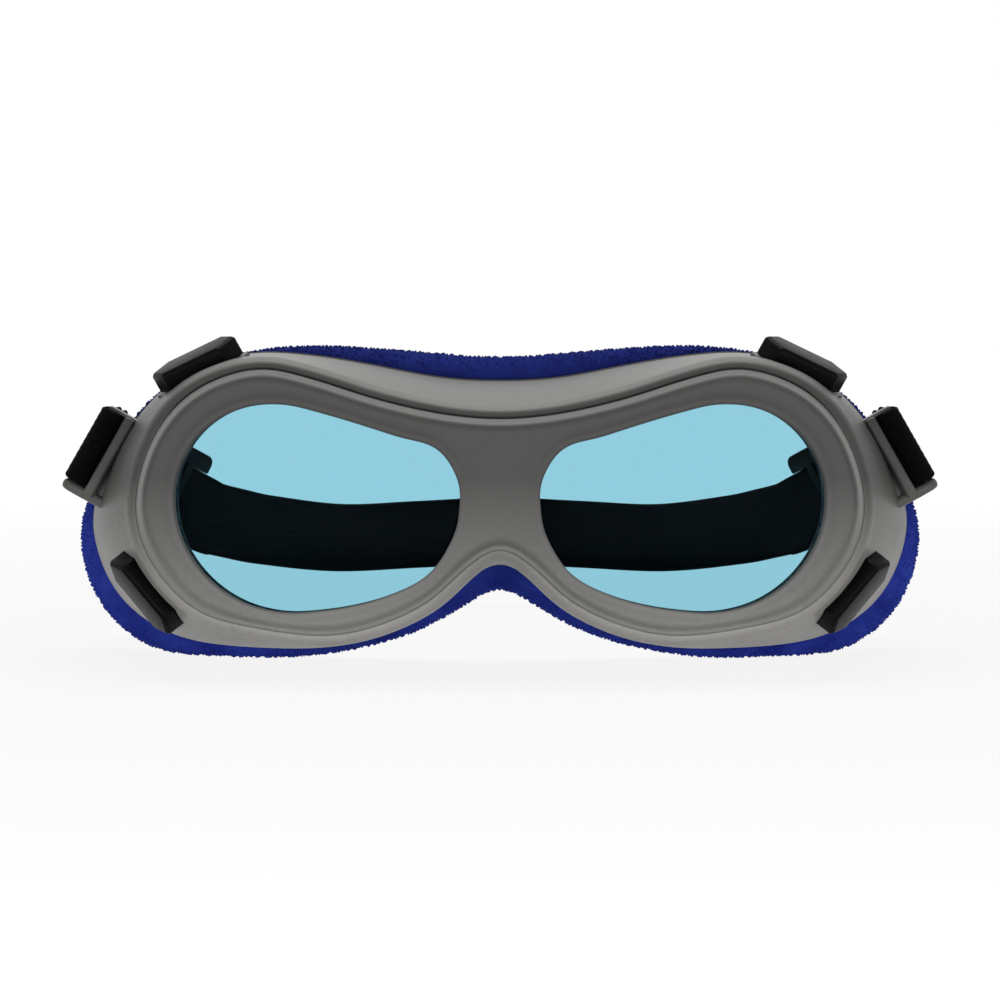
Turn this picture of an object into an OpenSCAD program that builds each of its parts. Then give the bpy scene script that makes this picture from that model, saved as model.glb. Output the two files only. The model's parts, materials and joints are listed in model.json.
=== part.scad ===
// Safety goggles with two coloured filters, a soft face cushion and an elastic headband.
// Millimetres. X runs across the face, Y runs back towards the wearer, Z is up.
// Left and right are as seen from the front: left is the -X side.
// The goggles stand on the underside of the face cushion, at z = 0.

/* [Filters] */
// Width of each filter window
window_w = 54.8; // [50:0.2:60]
// Height of each filter window
window_h = 40; // [36:0.5:42]
// Gap between the two windows, over the nose
window_gap = 15.6; // [13:0.2:20]
// Thickness of a filter
filter_t = 2.6; // [2:0.1:3.5]
// How far a filter runs on behind the rim of its window
filter_lap = 1.2; // [0.8:0.1:1.4]
// Angle by which each half of the front wraps back
wrap = 4; // [2:0.5:6]
// Height of the window centres above the rest face
window_z = 33.1; // [32:0.1:40]

/* [Front bezel] */
// Rim from the window to the crest of the bead, at the side
rim_side = 7.2; // [6.5:0.1:9]
// Rim from the window to the crest of the bead, at the brow
rim_top = 6.5; // [6:0.1:8]
// Rim from the window to the crest of the bead, at the cheek
rim_bottom = 4.2; // [4.2:0.1:6]
// Height of the bead above the plate
bead_h = 0.9; // [0.5:0.1:1.5]
// Thickness of the plate under the bead
plate_t = 2.1; // [1.8:0.1:3]
// Thickness of the lip that the filter's gasket seats on
lip_t = 0.9; // [0.8:0.1:1.4]
// Wall of the pocket round each filter
pocket_wall = 1.2; // [1:0.1:1.3]
// Thickness of the gasket between lip and filter
gasket_t = 0.5; // [0.4:0.1:1]
// Thickness of the ring that holds a filter from behind
retainer_t = 1.5; // [1.2:0.1:2.5]

/* [Body shell] */
// Wall of the moulded shell
shell_wall = 2; // [1.6:0.1:2.6]
// How far the front shoulder stands out beyond the bead
shoulder = 2.8; // [2.2:0.1:3.4]
// How far the skirt flares beyond the bead, at the side
flare_side = 14.4; // [12:0.2:16]
// How far the skirt flares beyond the bead, at the brow
flare_top = 2.7; // [2.4:0.1:5]
// How far the skirt flares beyond the bead, at the cheek
flare_bottom = 5.9; // [4.5:0.1:7]
// Depth from the bead to the skirt's rear edge, at the nose
depth_nose = 24; // [21:0.5:28]
// Depth from the bead to the skirt's rear edge, at the side
depth_side = 46; // [44:0.5:48]

/* [Vents] */
// Length of a vent cap along the skirt
cap_l = 18.5; // [16:0.5:21]
// Width of a vent cap
cap_w = 8.6; // [7.5:0.2:10]
// Height of a vent cap above its seat
cap_h = 4.2; // [3:0.1:5]
// Depth of the upper vent seats below the skirt's surface
seat_upper = 0.9; // [0.6:0.1:1.2]
// Depth of the lower vent seats below the skirt's surface
seat_lower = 1.6; // [1.2:0.1:2]
// Diameter of a vent cap's stem
stem_d = 4.4; // [3.5:0.1:5]
// Clearance of the stem in the shell and in its baffle, on the radius
stem_fit = 0.05; // [0.03:0.01:0.1]
// Diameter of the light baffle on each stem
baffle_d = 10; // [8:0.5:11]
// Thickness of the light baffle
baffle_t = 1.2; // [0.8:0.1:1.6]

/* [Face cushion] */
// How far the cushion stands out beyond the skirt, at the side
pad_side = 2.8; // [2.6:0.1:4]
// How far the cushion stands out beyond the skirt, at the brow
pad_top = 1.7; // [1.5:0.1:3]
// How far the cushion stands out beyond the skirt, at the cheek
pad_bottom = 3.5; // [3:0.1:5]
// Width of the cushion's section at the sides
pad_w = 11.5; // [10:0.5:12.5]
// Width of the cushion's section over the nose
pad_nose_w = 10; // [9:0.5:11]
// Depth of the cushion behind its carrier
pad_d = 10.6; // [9:0.2:12]
// Thickness of the terry cover
cover_t = 1.4; // [1:0.1:1.8]
// Thickness of the cushion's carrier ring
carrier_t = 1.6; // [1.2:0.1:2]
// Width of the cushion's carrier ring
carrier_w = 4.6; // [4.2:0.2:6]

/* [Headband] */
// Width of the elastic strap
strap_w = 16; // [14:0.5:16]
// Thickness of one layer of strap
strap_t = 1.3; // [1:0.1:1.5]
// Diameter of the bar that the strap is looped round
bar_d = 2.2; // [2:0.1:2.6]
// Lean of the lug bars from the vertical
bar_lean = 30; // [24:1:34]
// Distance from a lug bar back to the line that the headband swings about
swing_back = 14; // [12:0.5:16]
// Height of a strap slider across the strap
slider_h = 23.5; // [22:0.5:26]
// Length of a strap slider along the strap
slider_l = 12; // [10:0.5:12]
// Thickness of the slider's bars
slider_bar = 1.3; // [1:0.1:1.8]
// Length of strap tail behind a slider
tail_l = 13; // [10:0.5:15]

/* [Hidden] */
$fn = 64;

// Clearances: pieces that fit in, faces that all but touch, seated rings, foam in its cover,
// the carrier's tongue in the shell, and the swinging strap
fit = 0.15;
touch = 0.05;
seam = 0.1;
foam_gap = 0.6;
tongue_gap = 0.6;
swing_gap = 0.6;

// Curve steps between two shape points, round the contours and round the cushion
steps = 3;
pad_steps = 2;

// Each contour runs from the top centre, down the left side, to the bottom centre.
// Its points are shares of the contour's half width and of its height above or below the window centres.
bead_shape = [
    [0, 0.635], [-0.165, 0.673], [-0.346, 0.78], [-0.519, 0.925], [-0.671, 0.996], [-0.838, 0.835],
    [-0.95, 0.5], [-1, 0.02], [-0.957, -0.43], [-0.838, -0.8], [-0.685, -0.93], [-0.491, -1],
    [-0.339, -0.917], [-0.195, -0.719], [-0.091, -0.438], [0, -0.298]
];
skirt_shape = [
    [0, 0.815], [-0.142, 0.836], [-0.308, 0.925], [-0.45, 0.986], [-0.592, 1], [-0.746, 0.884],
    [-0.882, 0.534], [-0.972, 0.075], [-0.995, -0.266], [-0.931, -0.691], [-0.782, -0.95], [-0.575, -0.987],
    [-0.391, -0.973], [-0.225, -0.837], [-0.102, -0.558], [0, -0.402]
];
pad_shape = [
    [0, 0.923], [-0.137, 0.949], [-0.297, 0.984], [-0.434, 1], [-0.583, 0.961], [-0.743, 0.81],
    [-0.873, 0.511], [-0.965, 0.064], [-0.999, -0.271], [-0.944, -0.688], [-0.794, -0.968], [-0.583, -1],
    [-0.383, -0.945], [-0.217, -0.832], [-0.098, -0.675], [0, -0.532]
];

// Reach of each contour: half width, height above and depth below the window centres
bead_reach = [window_gap / 2 + window_w + rim_side, window_h / 2 + rim_top, window_h / 2 + rim_bottom];
skirt_reach = bead_reach + [flare_side, flare_top, flare_bottom];
pad_reach = skirt_reach + [pad_side, pad_top, pad_bottom];

// Depths at the front, measured back from the bead's crest
edge_drop = 0.1;
plate_drop = 0.3;
retainer_proud = 0.2;
edge_y = bead_h + edge_drop;
plate_y = bead_h + plate_drop;
rear_y = bead_h + plate_t;
lip_y = plate_y + lip_t;
filter_y = lip_y + gasket_t;
retainer_y = filter_y + filter_t;
pocket_y = retainer_y + retainer_t - retainer_proud;
// The wrap sets in over this distance from the centre, and the skirt deepens with this power of x
wrap_blend = 5;
depth_power = 1.8;

function mix(a, b, t) = a + (b - a) * t;
function unit(v) = v / norm(v);
function flip(p) = [-p.x, p.y, p.z];
function wrap_depth(x) = tan(wrap) * (sqrt(x * x + wrap_blend * wrap_blend) - wrap_blend);
function skirt_depth(x) = depth_nose + (depth_side - depth_nose) * pow(abs(x) / skirt_reach.x, depth_power);

// A smooth curve between b and c, with a and d as the points before and after
function curve(a, b, c, d, t) =
    (2 * b + (c - a) * t + (2 * a - 5 * b + 4 * c - d) * t * t + (3 * b - a - 3 * c + d) * t * t * t) / 2;
function closed_curve(p, n = steps) = [
    for (i = [0 : len(p) - 1], k = [0 : n - 1])
        curve(p[(i + len(p) - 1) % len(p)], p[i], p[(i + 1) % len(p)], p[(i + 2) % len(p)], k / n)
];

// A contour's points in millimetres, both halves, anticlockwise as seen from the front
function scaled(shape, reach) = [for (p = shape) [p.x * reach.x, p.y * (p.y > 0 ? reach.y : reach.z)]];
function both_halves(half) = concat(half, [for (i = [len(half) - 2 : -1 : 1]) [-half[i].x, half[i].y]]);
function contour(shape, reach, n = steps) = closed_curve(both_halves(scaled(shape, reach)), n);

// A contour moved outwards along its own normals
function outward(loop, i) =
    let (n = len(loop), t = unit(loop[(i + 1) % n] - loop[(i + n - 1) % n])) [t.y, -t.x];
function grow(loop, d) = [for (i = [0 : len(loop) - 1]) loop[i] + d * outward(loop, i)];
function blend(a, b, t) = [for (i = [0 : len(a) - 1]) mix(a[i], b[i], t)];

bead = contour(bead_shape, bead_reach);
skirt = contour(skirt_shape, skirt_reach);
pad = contour(pad_shape, pad_reach, pad_steps);
half_n = (len(bead_shape) - 1) * steps;

// The left window's outline, as shares of its half width and half height about its centre
window_shape = [
    [1, 0], [1, 0.24], [0.912, 0.485], [0.79, 0.617], [0.596, 0.68], [0.344, 0.79], [0.007, 0.925],
    [-0.26, 1], [-0.57, 0.94], [-0.846, 0.675], [-0.996, 0.24], [-0.97, -0.24], [-0.8, -0.635],
    [-0.544, -0.895], [-0.257, -1], [0.007, -0.985], [0.26, -0.93], [0.518, -0.825], [0.798, -0.6175],
    [0.965, -0.25]
];
window_centre = [-(window_gap + window_w) / 2, 0];
fine_window = [
    for (p = closed_curve(window_shape)) window_centre + [p.x * window_w / 2, p.y * window_h / 2]
];
window_sides = len(fine_window);

// Where a ray from the window's centre towards p meets the window
function side_of(p, d) = d.x * (p.y - window_centre.y) - d.y * (p.x - window_centre.x);
function window_hit(p) =
    let (d = p - window_centre)
    [
        for (i = [0 : window_sides - 1])
            let (a = fine_window[i], b = fine_window[(i + 1) % window_sides])
            let (sa = side_of(a, d), sb = side_of(b, d))
            if (sa <= 0 && sb > 0 && (a - window_centre) * d > 0) mix(a, b, sa / (sa - sb))
    ][0];

// The left half's outline: the bead from top to bottom, then up the centre line
centre_steps = 6;
half_bead = [for (i = [0 : half_n]) bead[i]];
centre_line = [for (k = [1 : centre_steps - 1]) mix(bead[half_n], bead[0], k / centre_steps)];
half_outline = concat(half_bead, centre_line);
window = [for (p = half_outline) window_hit(p)];

// A closed ring of sections: each loop has the same number of points, and the loops run round the section
module ring(loops) {
    m = len(loops);
    n = len(loops[0]);
    faces = [
        for (j = [0 : m - 1], i = [0 : n - 1])
            let (a = j * n + i, b = j * n + (i + 1) % n)
            let (c = ((j + 1) % m) * n + (i + 1) % n, d = ((j + 1) % m) * n + i)
            each [[a, b, c], [a, c, d]]
    ];
    polyhedron([for (loop = loops) each loop], faces);
}

// The points of a flat loop at a depth that follows the front's wrap, or the skirt's rear edge
function at_front(loop, y) = [for (p = loop) [p.x, y + wrap_depth(p.x), p.y + window_z]];
function at_rear(loop, y) = [for (p = loop) [p.x, y + skirt_depth(p.x), p.y + window_z]];
function at_share(loop, y, t) =
    [for (p = loop) [p.x, mix(y + wrap_depth(p.x), skirt_depth(p.x), t), p.y + window_z]];

// The left filter's own plane, tilted back with the wrap
seat_back = wrap_blend * tan(wrap);
function on_seat(p, y) = [
    p.x * cos(wrap) + y * sin(wrap), y * cos(wrap) - p.x * sin(wrap) - seat_back, p.y + window_z
];
module filter_plane() {
    translate([0, -seat_back, window_z])
        rotate([0, 0, -wrap])
            children();
}
module on_side(side) {
    mirror([side == "right" ? 1 : 0, 0, 0])
        children();
}

// A plate or frame in the filter's plane, between two depths and two growths of the window
module filter_plate(out, y0, y1) {
    translate([0, y1, 0])
        rotate([90, 0, 0])
            linear_extrude(y1 - y0)
                polygon(grow(window, out));
}
module filter_frame(out, in, y0, y1) {
    translate([0, y1, 0])
        rotate([90, 0, 0])
            linear_extrude(y1 - y0)
                difference() {
                    polygon(grow(window, out));
                    polygon(grow(window, in));
                }
}

// One half of the bezel, as loops round its section. Points on the centre line stay on it.
pocket_in = filter_lap + fit;
pocket_out = pocket_in + pocket_wall;
bead_in = 1.5;
bead_back = 0.2;
edge_out = 0.35;
lip_bevel = 0.6;
lip_rise = 0.3;
function rim_loop(d, y, centre_y) =
    let (edge = grow(bead, d))
    [
        for (i = [0 : len(half_outline) - 1])
            i <= half_n
            ? [edge[i].x, y + wrap_depth(edge[i].x), edge[i].y + window_z]
            : [0, centre_y, half_outline[i].y + window_z]
    ];
function window_loop(g, y) = [for (p = grow(window, g)) on_seat(p, y)];
// The plate's front face is lowest half way from window to bead, and almost flat on the centre line
channel_share = 0.5;
function channel_loop(y) =
    [for (p = blend(window, half_outline, channel_share)) [p.x, y + wrap_depth(p.x), p.y + window_z]];
centre_front = plate_y + touch;
centre_step = 0.3;
bezel_half = [
    rim_loop(edge_out, edge_y, centre_front + 2 * centre_step),
    rim_loop(edge_out, rear_y, rear_y),
    window_loop(pocket_out, rear_y),
    window_loop(pocket_out, pocket_y),
    window_loop(pocket_in, pocket_y),
    window_loop(pocket_in, lip_y),
    window_loop(0, lip_y),
    window_loop(0, plate_y),
    window_loop(lip_bevel, plate_y - lip_rise),
    channel_loop(plate_y),
    rim_loop(-bead_in, bead_h, centre_front),
    rim_loop(-bead_back, 0, centre_front + centre_step)
];

module front_bezel() {
    m = len(bezel_half);
    n = len(bezel_half[0]);
    left = [for (loop = bezel_half) each loop];
    right = [for (p = left) flip(p)];
    triangles = [
        for (j = [0 : m - 1], i = [0 : n - 1])
            let (a = j * n + i, b = j * n + (i + 1) % n)
            let (c = ((j + 1) % m) * n + (i + 1) % n, d = ((j + 1) % m) * n + i)
            for (f = [[a, b, c], [a, c, d]])
                if (max([for (k = f) abs(left[k].x)]) > touch / 10) f
    ];
    color("dimgray")
        polyhedron(
            concat(left, right),
            concat(triangles, [for (f = triangles) [f[2] + m * n, f[1] + m * n, f[0] + m * n]])
        );
}

// The shell's section: recess for the bezel, shoulder, flared skirt and the wall inside it
// The ledge behind the bezel stops short of the filter pockets, which come nearest it at the cheek.
ledge_most = 1.3;
pocket_clear = 0.9;
ledge_in = min(ledge_most, rim_bottom - pocket_out - pocket_clear);
ledge_rise = 0.6;
recess_out = edge_out + fit;
recess_drop = 0.5;
land = 0.9;
shoulder_y = 4.2;
flare_t = [0, 0.3, 0.68, 1];
flare_out = [0, 0.42, 0.78, 1];
shoulder_loop = grow(bead, shoulder);
function flare_loop(k) = blend(shoulder_loop, skirt, flare_out[k]);
shell_loops = concat(
    [at_front(grow(bead, recess_out + land), edge_y + recess_drop)],
    [for (k = [0 : 3]) at_share(flare_loop(k), shoulder_y, flare_t[k])],
    [for (k = [3 : -1 : 1]) at_share(grow(flare_loop(k), -shell_wall), shoulder_y, flare_t[k])],
    [
        at_front(grow(bead, shoulder - shell_wall), rear_y + seam + shell_wall + ledge_rise),
        at_front(grow(bead, -ledge_in), rear_y + seam + shell_wall),
        at_front(grow(bead, -ledge_in), rear_y + seam),
        at_front(grow(bead, recess_out), rear_y + seam),
        at_front(grow(bead, recess_out), edge_y + recess_drop)
    ]
);

// A place on the skirt: u is its position along the contour in shape points, t the share of the depth.
// The frame there is [point, along the contour, outward normal, along the skirt to the rear].
// A vent's place is [u, t, depth of its seat below the surface].
vent_upper = [4.78, 0.36, seat_upper];
vent_lower = [8.54, 0.16, seat_lower];
function lerp_loop(loop, u) =
    let (i = floor(u * steps), f = u * steps - i) mix(loop[i], loop[i + 1], f);
function skirt_share(t) =
    t < flare_t[1] ? flare_out[1] * t / flare_t[1]
    : t < flare_t[2] ? mix(flare_out[1], flare_out[2], (t - flare_t[1]) / (flare_t[2] - flare_t[1]))
    : mix(flare_out[2], 1, (t - flare_t[2]) / (1 - flare_t[2]));
function skirt_point(u, t) =
    let (p = mix(lerp_loop(shoulder_loop, u), lerp_loop(skirt, u), skirt_share(t)))
    [p.x, mix(shoulder_y + wrap_depth(p.x), skirt_depth(p.x), t), p.y + window_z];
frame_u = 0.6;
frame_t = 0.1;
function skirt_frame(place) =
    let (
        u = place[0],
        t = place[1],
        along = unit(skirt_point(u + frame_u, t) - skirt_point(u - frame_u, t)),
        back = skirt_point(u, t + frame_t) - skirt_point(u, t - frame_t),
        out = unit(cross(back, along))
    )
    [skirt_point(u, t), along, out, cross(along, out)];
module in_frame(frame) {
    o = frame[0];
    a = frame[1];
    b = frame[3];
    c = frame[2];
    multmatrix([
        [a.x, -b.x, c.x, o.x],
        [a.y, -b.y, c.y, o.y],
        [a.z, -b.z, c.z, o.z],
        [0, 0, 0, 1]
    ])
        children();
}
// A vent's own frame: its seat is the plane z = 0, with +z outwards
module at_vent(place) {
    in_frame(skirt_frame(place))
        translate([0, 0, -place[2]])
            children();
}

// The plan of a vent cap: a long hexagon
cap_point = 3;
function cap_plan(grow_by) = [
    [cap_l / 2 + grow_by, 0],
    [cap_l / 2 - cap_point + grow_by / 2, cap_w / 2 + grow_by],
    [-cap_l / 2 + cap_point - grow_by / 2, cap_w / 2 + grow_by],
    [-cap_l / 2 - grow_by, 0],
    [-cap_l / 2 + cap_point - grow_by / 2, -cap_w / 2 - grow_by],
    [cap_l / 2 - cap_point + grow_by / 2, -cap_w / 2 - grow_by]
];
cap_chamfer = 1.2;
seat_web = 1.6;
// The stem starts inside the cap, runs free below the seat, and ends in a head behind the baffle
stem_root = 1;
stem_free = 2.2;
stem_head = 1;
stem_head_d = stem_d + 1.6;
baffle_z = -seat_web - stem_free;
stem_end = baffle_z - baffle_t - seam - stem_head;
through = 1;

module vent_cap(place) {
    color("black")
        at_vent(place) {
            translate([0, 0, touch])
                linear_extrude(cap_h - cap_chamfer)
                    polygon(cap_plan(0));
            hull() {
                translate([0, 0, cap_h - cap_chamfer])
                    linear_extrude(touch)
                        polygon(cap_plan(0));
                translate([0, 0, cap_h - touch])
                    linear_extrude(touch)
                        polygon(cap_plan(-cap_chamfer));
            }
            translate([0, 0, stem_end])
                cylinder(h = stem_root - stem_end, d = stem_d);
            translate([0, 0, stem_end])
                cylinder(h = stem_head, d = stem_head_d);
        }
}
module vent_baffle(place) {
    color("black")
        at_vent(place)
            translate([0, 0, baffle_z - baffle_t])
                difference() {
                    cylinder(h = baffle_t, d = baffle_d);
                    translate([0, 0, -through])
                        cylinder(h = baffle_t + 2 * through, d = stem_d + 2 * stem_fit);
                }
}

// The lugs: an ear on each side of the shell with a round bar for the strap
bar_y = 30;
arm_low = 2.4;
arm_top = 1;
slot = 2.6;
ear_y = 4;
ear_root = 5.2;
bar_in = 3.1;
bar_at = [bar_in - skirt_reach.x, bar_y, window_z + 10.6];
module at_bar() {
    translate(bar_at)
        rotate([0, bar_lean, 0])
            children();
}
arm_gap = 0.4;
lug_low = -strap_w / 2 - arm_gap;
lug_top = strap_w / 2 + arm_gap;
module lug_arm(z, height) {
    translate([0, 0, z])
        linear_extrude(height) {
            circle(d = ear_y);
            translate([0, -ear_y / 2])
                square([bar_d / 2 + slot + ear_root, ear_y]);
        }
}
module lug() {
    at_bar() {
        translate([0, 0, lug_low - arm_low / 2])
            cylinder(h = lug_top - lug_low + (arm_low + arm_top) / 2, d = bar_d);
        lug_arm(lug_low - arm_low, arm_low);
        lug_arm(lug_top, arm_top);
        translate([bar_d / 2 + slot, -ear_y / 2, lug_low - arm_low / 2])
            cube([ear_root, ear_y, lug_top - lug_low + (arm_low + arm_top) / 2]);
    }
}

module body_shell() {
    color("gray")
        difference() {
            union() {
                ring(shell_loops);
                for (side = ["left", "right"])
                    on_side(side) {
                        lug();
                        for (place = [vent_upper, vent_lower])
                            at_vent(place)
                                translate([0, 0, -seat_web])
                                    linear_extrude(seat_web)
                                        polygon(cap_plan(fit));
                    }
            }
            for (side = ["left", "right"], place = [vent_upper, vent_lower])
                on_side(side)
                    at_vent(place) {
                        linear_extrude(cap_h)
                            polygon(cap_plan(fit));
                        translate([0, 0, -seat_web * 2])
                            cylinder(h = seat_web * 3, d = stem_d + 2 * stem_fit);
                    }
        }
}

module filter_glass() {
    color("skyblue", 0.5)
        filter_plane()
            filter_plate(filter_lap, filter_y, retainer_y);
}
gasket_back = 0.1;
module filter_gasket() {
    color("black")
        filter_plane()
            filter_frame(filter_lap, gasket_back, lip_y, filter_y);
}
retainer_lap = 0.7;
module filter_retainer() {
    color("dimgray")
        filter_plane() {
            filter_frame(filter_lap, retainer_lap, retainer_y, pocket_y + seam);
            filter_frame(pocket_out, retainer_lap, pocket_y + seam, pocket_y + seam + pocket_wall);
        }
}

// The cushion: its carrier ring, the foam and the cover, which is open towards the carrier
carrier_y = 2 * seam;
carrier_out = 0.2;
tongue_share = 0.92;
tongue_t = 1.2;
tongue_in = shell_wall + tongue_gap;
tongue_loop = blend(shoulder_loop, skirt, skirt_share(tongue_share));
module cushion_carrier() {
    color("dimgray")
        ring([
            at_rear(grow(skirt, carrier_out), carrier_y),
            at_rear(grow(skirt, carrier_out), carrier_y + carrier_t),
            at_rear(grow(skirt, -carrier_w), carrier_y + carrier_t),
            at_rear(grow(skirt, -carrier_w), carrier_y),
            at_rear(grow(skirt, -tongue_in - tongue_t), carrier_y),
            at_share(grow(tongue_loop, -tongue_in - tongue_t), shoulder_y, tongue_share),
            at_share(grow(tongue_loop, -tongue_in), shoulder_y, tongue_share),
            at_rear(grow(skirt, -tongue_in), carrier_y)
        ]);
}

pad_y = carrier_y + carrier_t + seam;
crown_y = 4;
pad_taper = 35;
cover_from = 84;

// A loop of the cushion's oval section, k steps round from the carrier
oval_n = 9;
function oval_angle(k) = mix(-cover_from, 180 + cover_from, k / oval_n);
function oval_depth(shrink, k) =
    let (a = sin(oval_angle(k)))
    pad_y + crown_y + a * ((a < 0 ? crown_y : pad_d - crown_y) - shrink);
function pad_half(x) = mix(pad_nose_w, pad_w, min(abs(x) / pad_taper, 1)) / 2;
function oval_loop(shrink, k, floor_z) =
    let (c = cos(oval_angle(k)), y = oval_depth(shrink, k))
    [
        for (i = [0 : len(pad) - 1])
            let (h = pad_half(pad[i].x), q = pad[i] + ((h - shrink) * c - h) * outward(pad, i))
            [q.x, y + skirt_depth(q.x), max(q.y + window_z, floor_z)]
    ];
// The cover's outside is cut flat at the rest face, and its inside stays a cover's thickness above it.
module cushion_cover() {
    color("mediumblue")
        difference() {
            ring(concat(
                [for (k = [0 : oval_n]) oval_loop(0, k, -cover_t)],
                [for (k = [oval_n : -1 : 0]) oval_loop(cover_t, k, cover_t)]
            ));
            translate([-pad_reach.x, 0, -2 * cover_t])
                cube([2 * pad_reach.x, 2 * depth_side, 2 * cover_t]);
        }
}
foam_in = cover_t + foam_gap;
module cushion_foam() {
    color("lightgray")
        ring([for (k = [0 : oval_n]) oval_loop(foam_in, k, foam_in)]);
}

// The strap's middle line on the left, from the swing line to the back of the head
slider_in = 11.9;
slider_at = [slider_in - skirt_reach.x, bar_y + depth_side - 0.5, window_z - 2.2];
slider_dir = unit([0.53, 0.76, -0.375]);
slider_lean = 21;
slider_travel = 5;
run_out = 5;
straight = slider_l / 2 + slider_travel;
slider_front = slider_at - straight * slider_dir;
slider_back = slider_at + straight * slider_dir;
swing_at = bar_at + [0, swing_back, 0];
back_knot = 14;
// A knot behind the slider: x is a share of the mask's half width, and the drop is from the window's middle
function head_knot(share, y, drop) = [share * skirt_reach.x, y + 3 * depth_side, window_z - drop];
strap_knots = [
    swing_at - [0, strap_w, 0],
    swing_at - [0, strap_w / 2, 0],
    swing_at,
    swing_at + [-1.7, 8, -1.4],
    swing_at + [-0.8, 15.5, -4.2],
    slider_front - run_out * slider_dir,
    slider_front,
    slider_at,
    slider_back,
    slider_back + run_out * slider_dir,
    head_knot(-0.697, -43.2, 10.2),
    head_knot(-0.618, -34, 12.4),
    head_knot(-0.439, -13, 15.8),
    head_knot(-0.226, -1.4, 15.9),
    head_knot(0, 2, 15.3),
    head_knot(0.226, -1.4, 15.9)
];
strap_steps = 4;
left_line = [
    for (i = [1 : len(strap_knots) - 3], k = [0 : strap_steps - 1])
        curve(strap_knots[i - 1], strap_knots[i], strap_knots[i + 1], strap_knots[i + 2], k / strap_steps)
];

// The strap leans as its lug bar does, then as its slider does, and stands upright at the back of the head
function strap_lean(p) =
    p.y < slider_front.y
    ? mix(slider_lean, bar_lean, min((slider_front.y - p.y) / (slider_front.y - swing_at.y), 1))
    : p.x < slider_back.x ? slider_lean
    : slider_lean * p.x / slider_back.x;
function leaning(angle, t) =
    let (up = [sin(angle), 0, cos(angle)]) unit(up - (up * t) * t);

// Frames on the strap: [point, along, across the strap upwards, outward]
function strap_frame(i) =
    let (
        n = len(left_line),
        p = left_line[i],
        t = unit(i + 1 < n ? left_line[i + 1] - left_line[max(i - 1, 0)] : p - left_line[i - 1]),
        w = leaning(strap_lean(p), t)
    )
    [p, t, w, cross(w, t)];
left_frames = [for (i = [0 : len(left_line) - 1]) strap_frame(i)];
back_frame = [strap_knots[back_knot], [1, 0, 0], [0, 0, 1], [0, 1, 0]];
function flip_frame(f) = [flip(f[0]), -flip(f[1]), flip(f[2]), flip(f[3])];

// Half the strap's width at a frame: the end is round about the swing line
tip_half = 1;
function half_width(f) =
    let (ahead = max(swing_at.y - f[0].y, 0))
    sqrt(max(pow(strap_w / 2, 2) - ahead * ahead, tip_half * tip_half));
function section(f, out0, out1) =
    let (h = half_width(f))
    [
        f[0] + h * f[2] + out1 * f[3],
        f[0] + h * f[2] + out0 * f[3],
        f[0] - h * f[2] + out0 * f[3],
        f[0] - h * f[2] + out1 * f[3]
    ];
// Its two broad faces are split along the same diagonals, so that layers lie flat on each other.
// From the frame turn_at on, the diagonals are those of the mirrored strap.
module ribbon(frames, out0, out1, turn_at) {
    n = len(frames);
    points = [for (f = frames) each section(f, out0, out1)];
    sides = [
        for (i = [0 : n - 2], j = [0 : 3])
            let (a = 4 * i + j, b = 4 * i + (j + 1) % 4)
            each (j < 2) == (i < turn_at)
            ? [[a, b + 4, b], [a, a + 4, b + 4]]
            : [[a, a + 4, b], [b, a + 4, b + 4]]
    ];
    ends = [[0, 1, 2, 3], [for (j = [3 : -1 : 0]) 4 * (n - 1) + j]];
    polyhedron(points, concat(sides, ends));
}

layer_gap = touch;
module strap_band() {
    right_frames = [for (i = [len(left_frames) - 1 : -1 : 0]) flip_frame(left_frames[i])];
    frames = concat(left_frames, [back_frame], right_frames);
    color("black")
        ribbon(frames, layer_gap, layer_gap + strap_t, len(left_frames));
}
tail_count = len([for (f = left_frames) if ((f[0] - slider_at) * slider_dir < slider_l / 2 + tail_l) f]);
module strap_tail() {
    color("black")
        ribbon([for (i = [0 : tail_count - 1]) left_frames[i]], -layer_gap - strap_t, -layer_gap, tail_count);
}

// The strap's loop round the lug bar, sewn behind it and cut round about the swing line
loop_r = bar_d / 2 + seam + strap_t;
module strap_loop() {
    color("black")
        difference() {
            at_bar()
                translate([0, 0, -strap_w / 2])
                    linear_extrude(strap_w)
                        difference() {
                            union() {
                                circle(r = loop_r);
                                polygon([
                                    [-loop_r, 0],
                                    [loop_r, 0],
                                    [strap_t + layer_gap, swing_back / 2],
                                    [strap_t + layer_gap, swing_back],
                                    [-strap_t - layer_gap, swing_back],
                                    [-strap_t - layer_gap, swing_back / 2]
                                ]);
                            }
                            circle(r = bar_d / 2 + seam);
                        }
            translate(swing_at)
                rotate([0, bar_lean + 90, 0])
                    cylinder(h = strap_w, r = strap_w / 2 + swing_gap, center = true);
        }
}

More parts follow.
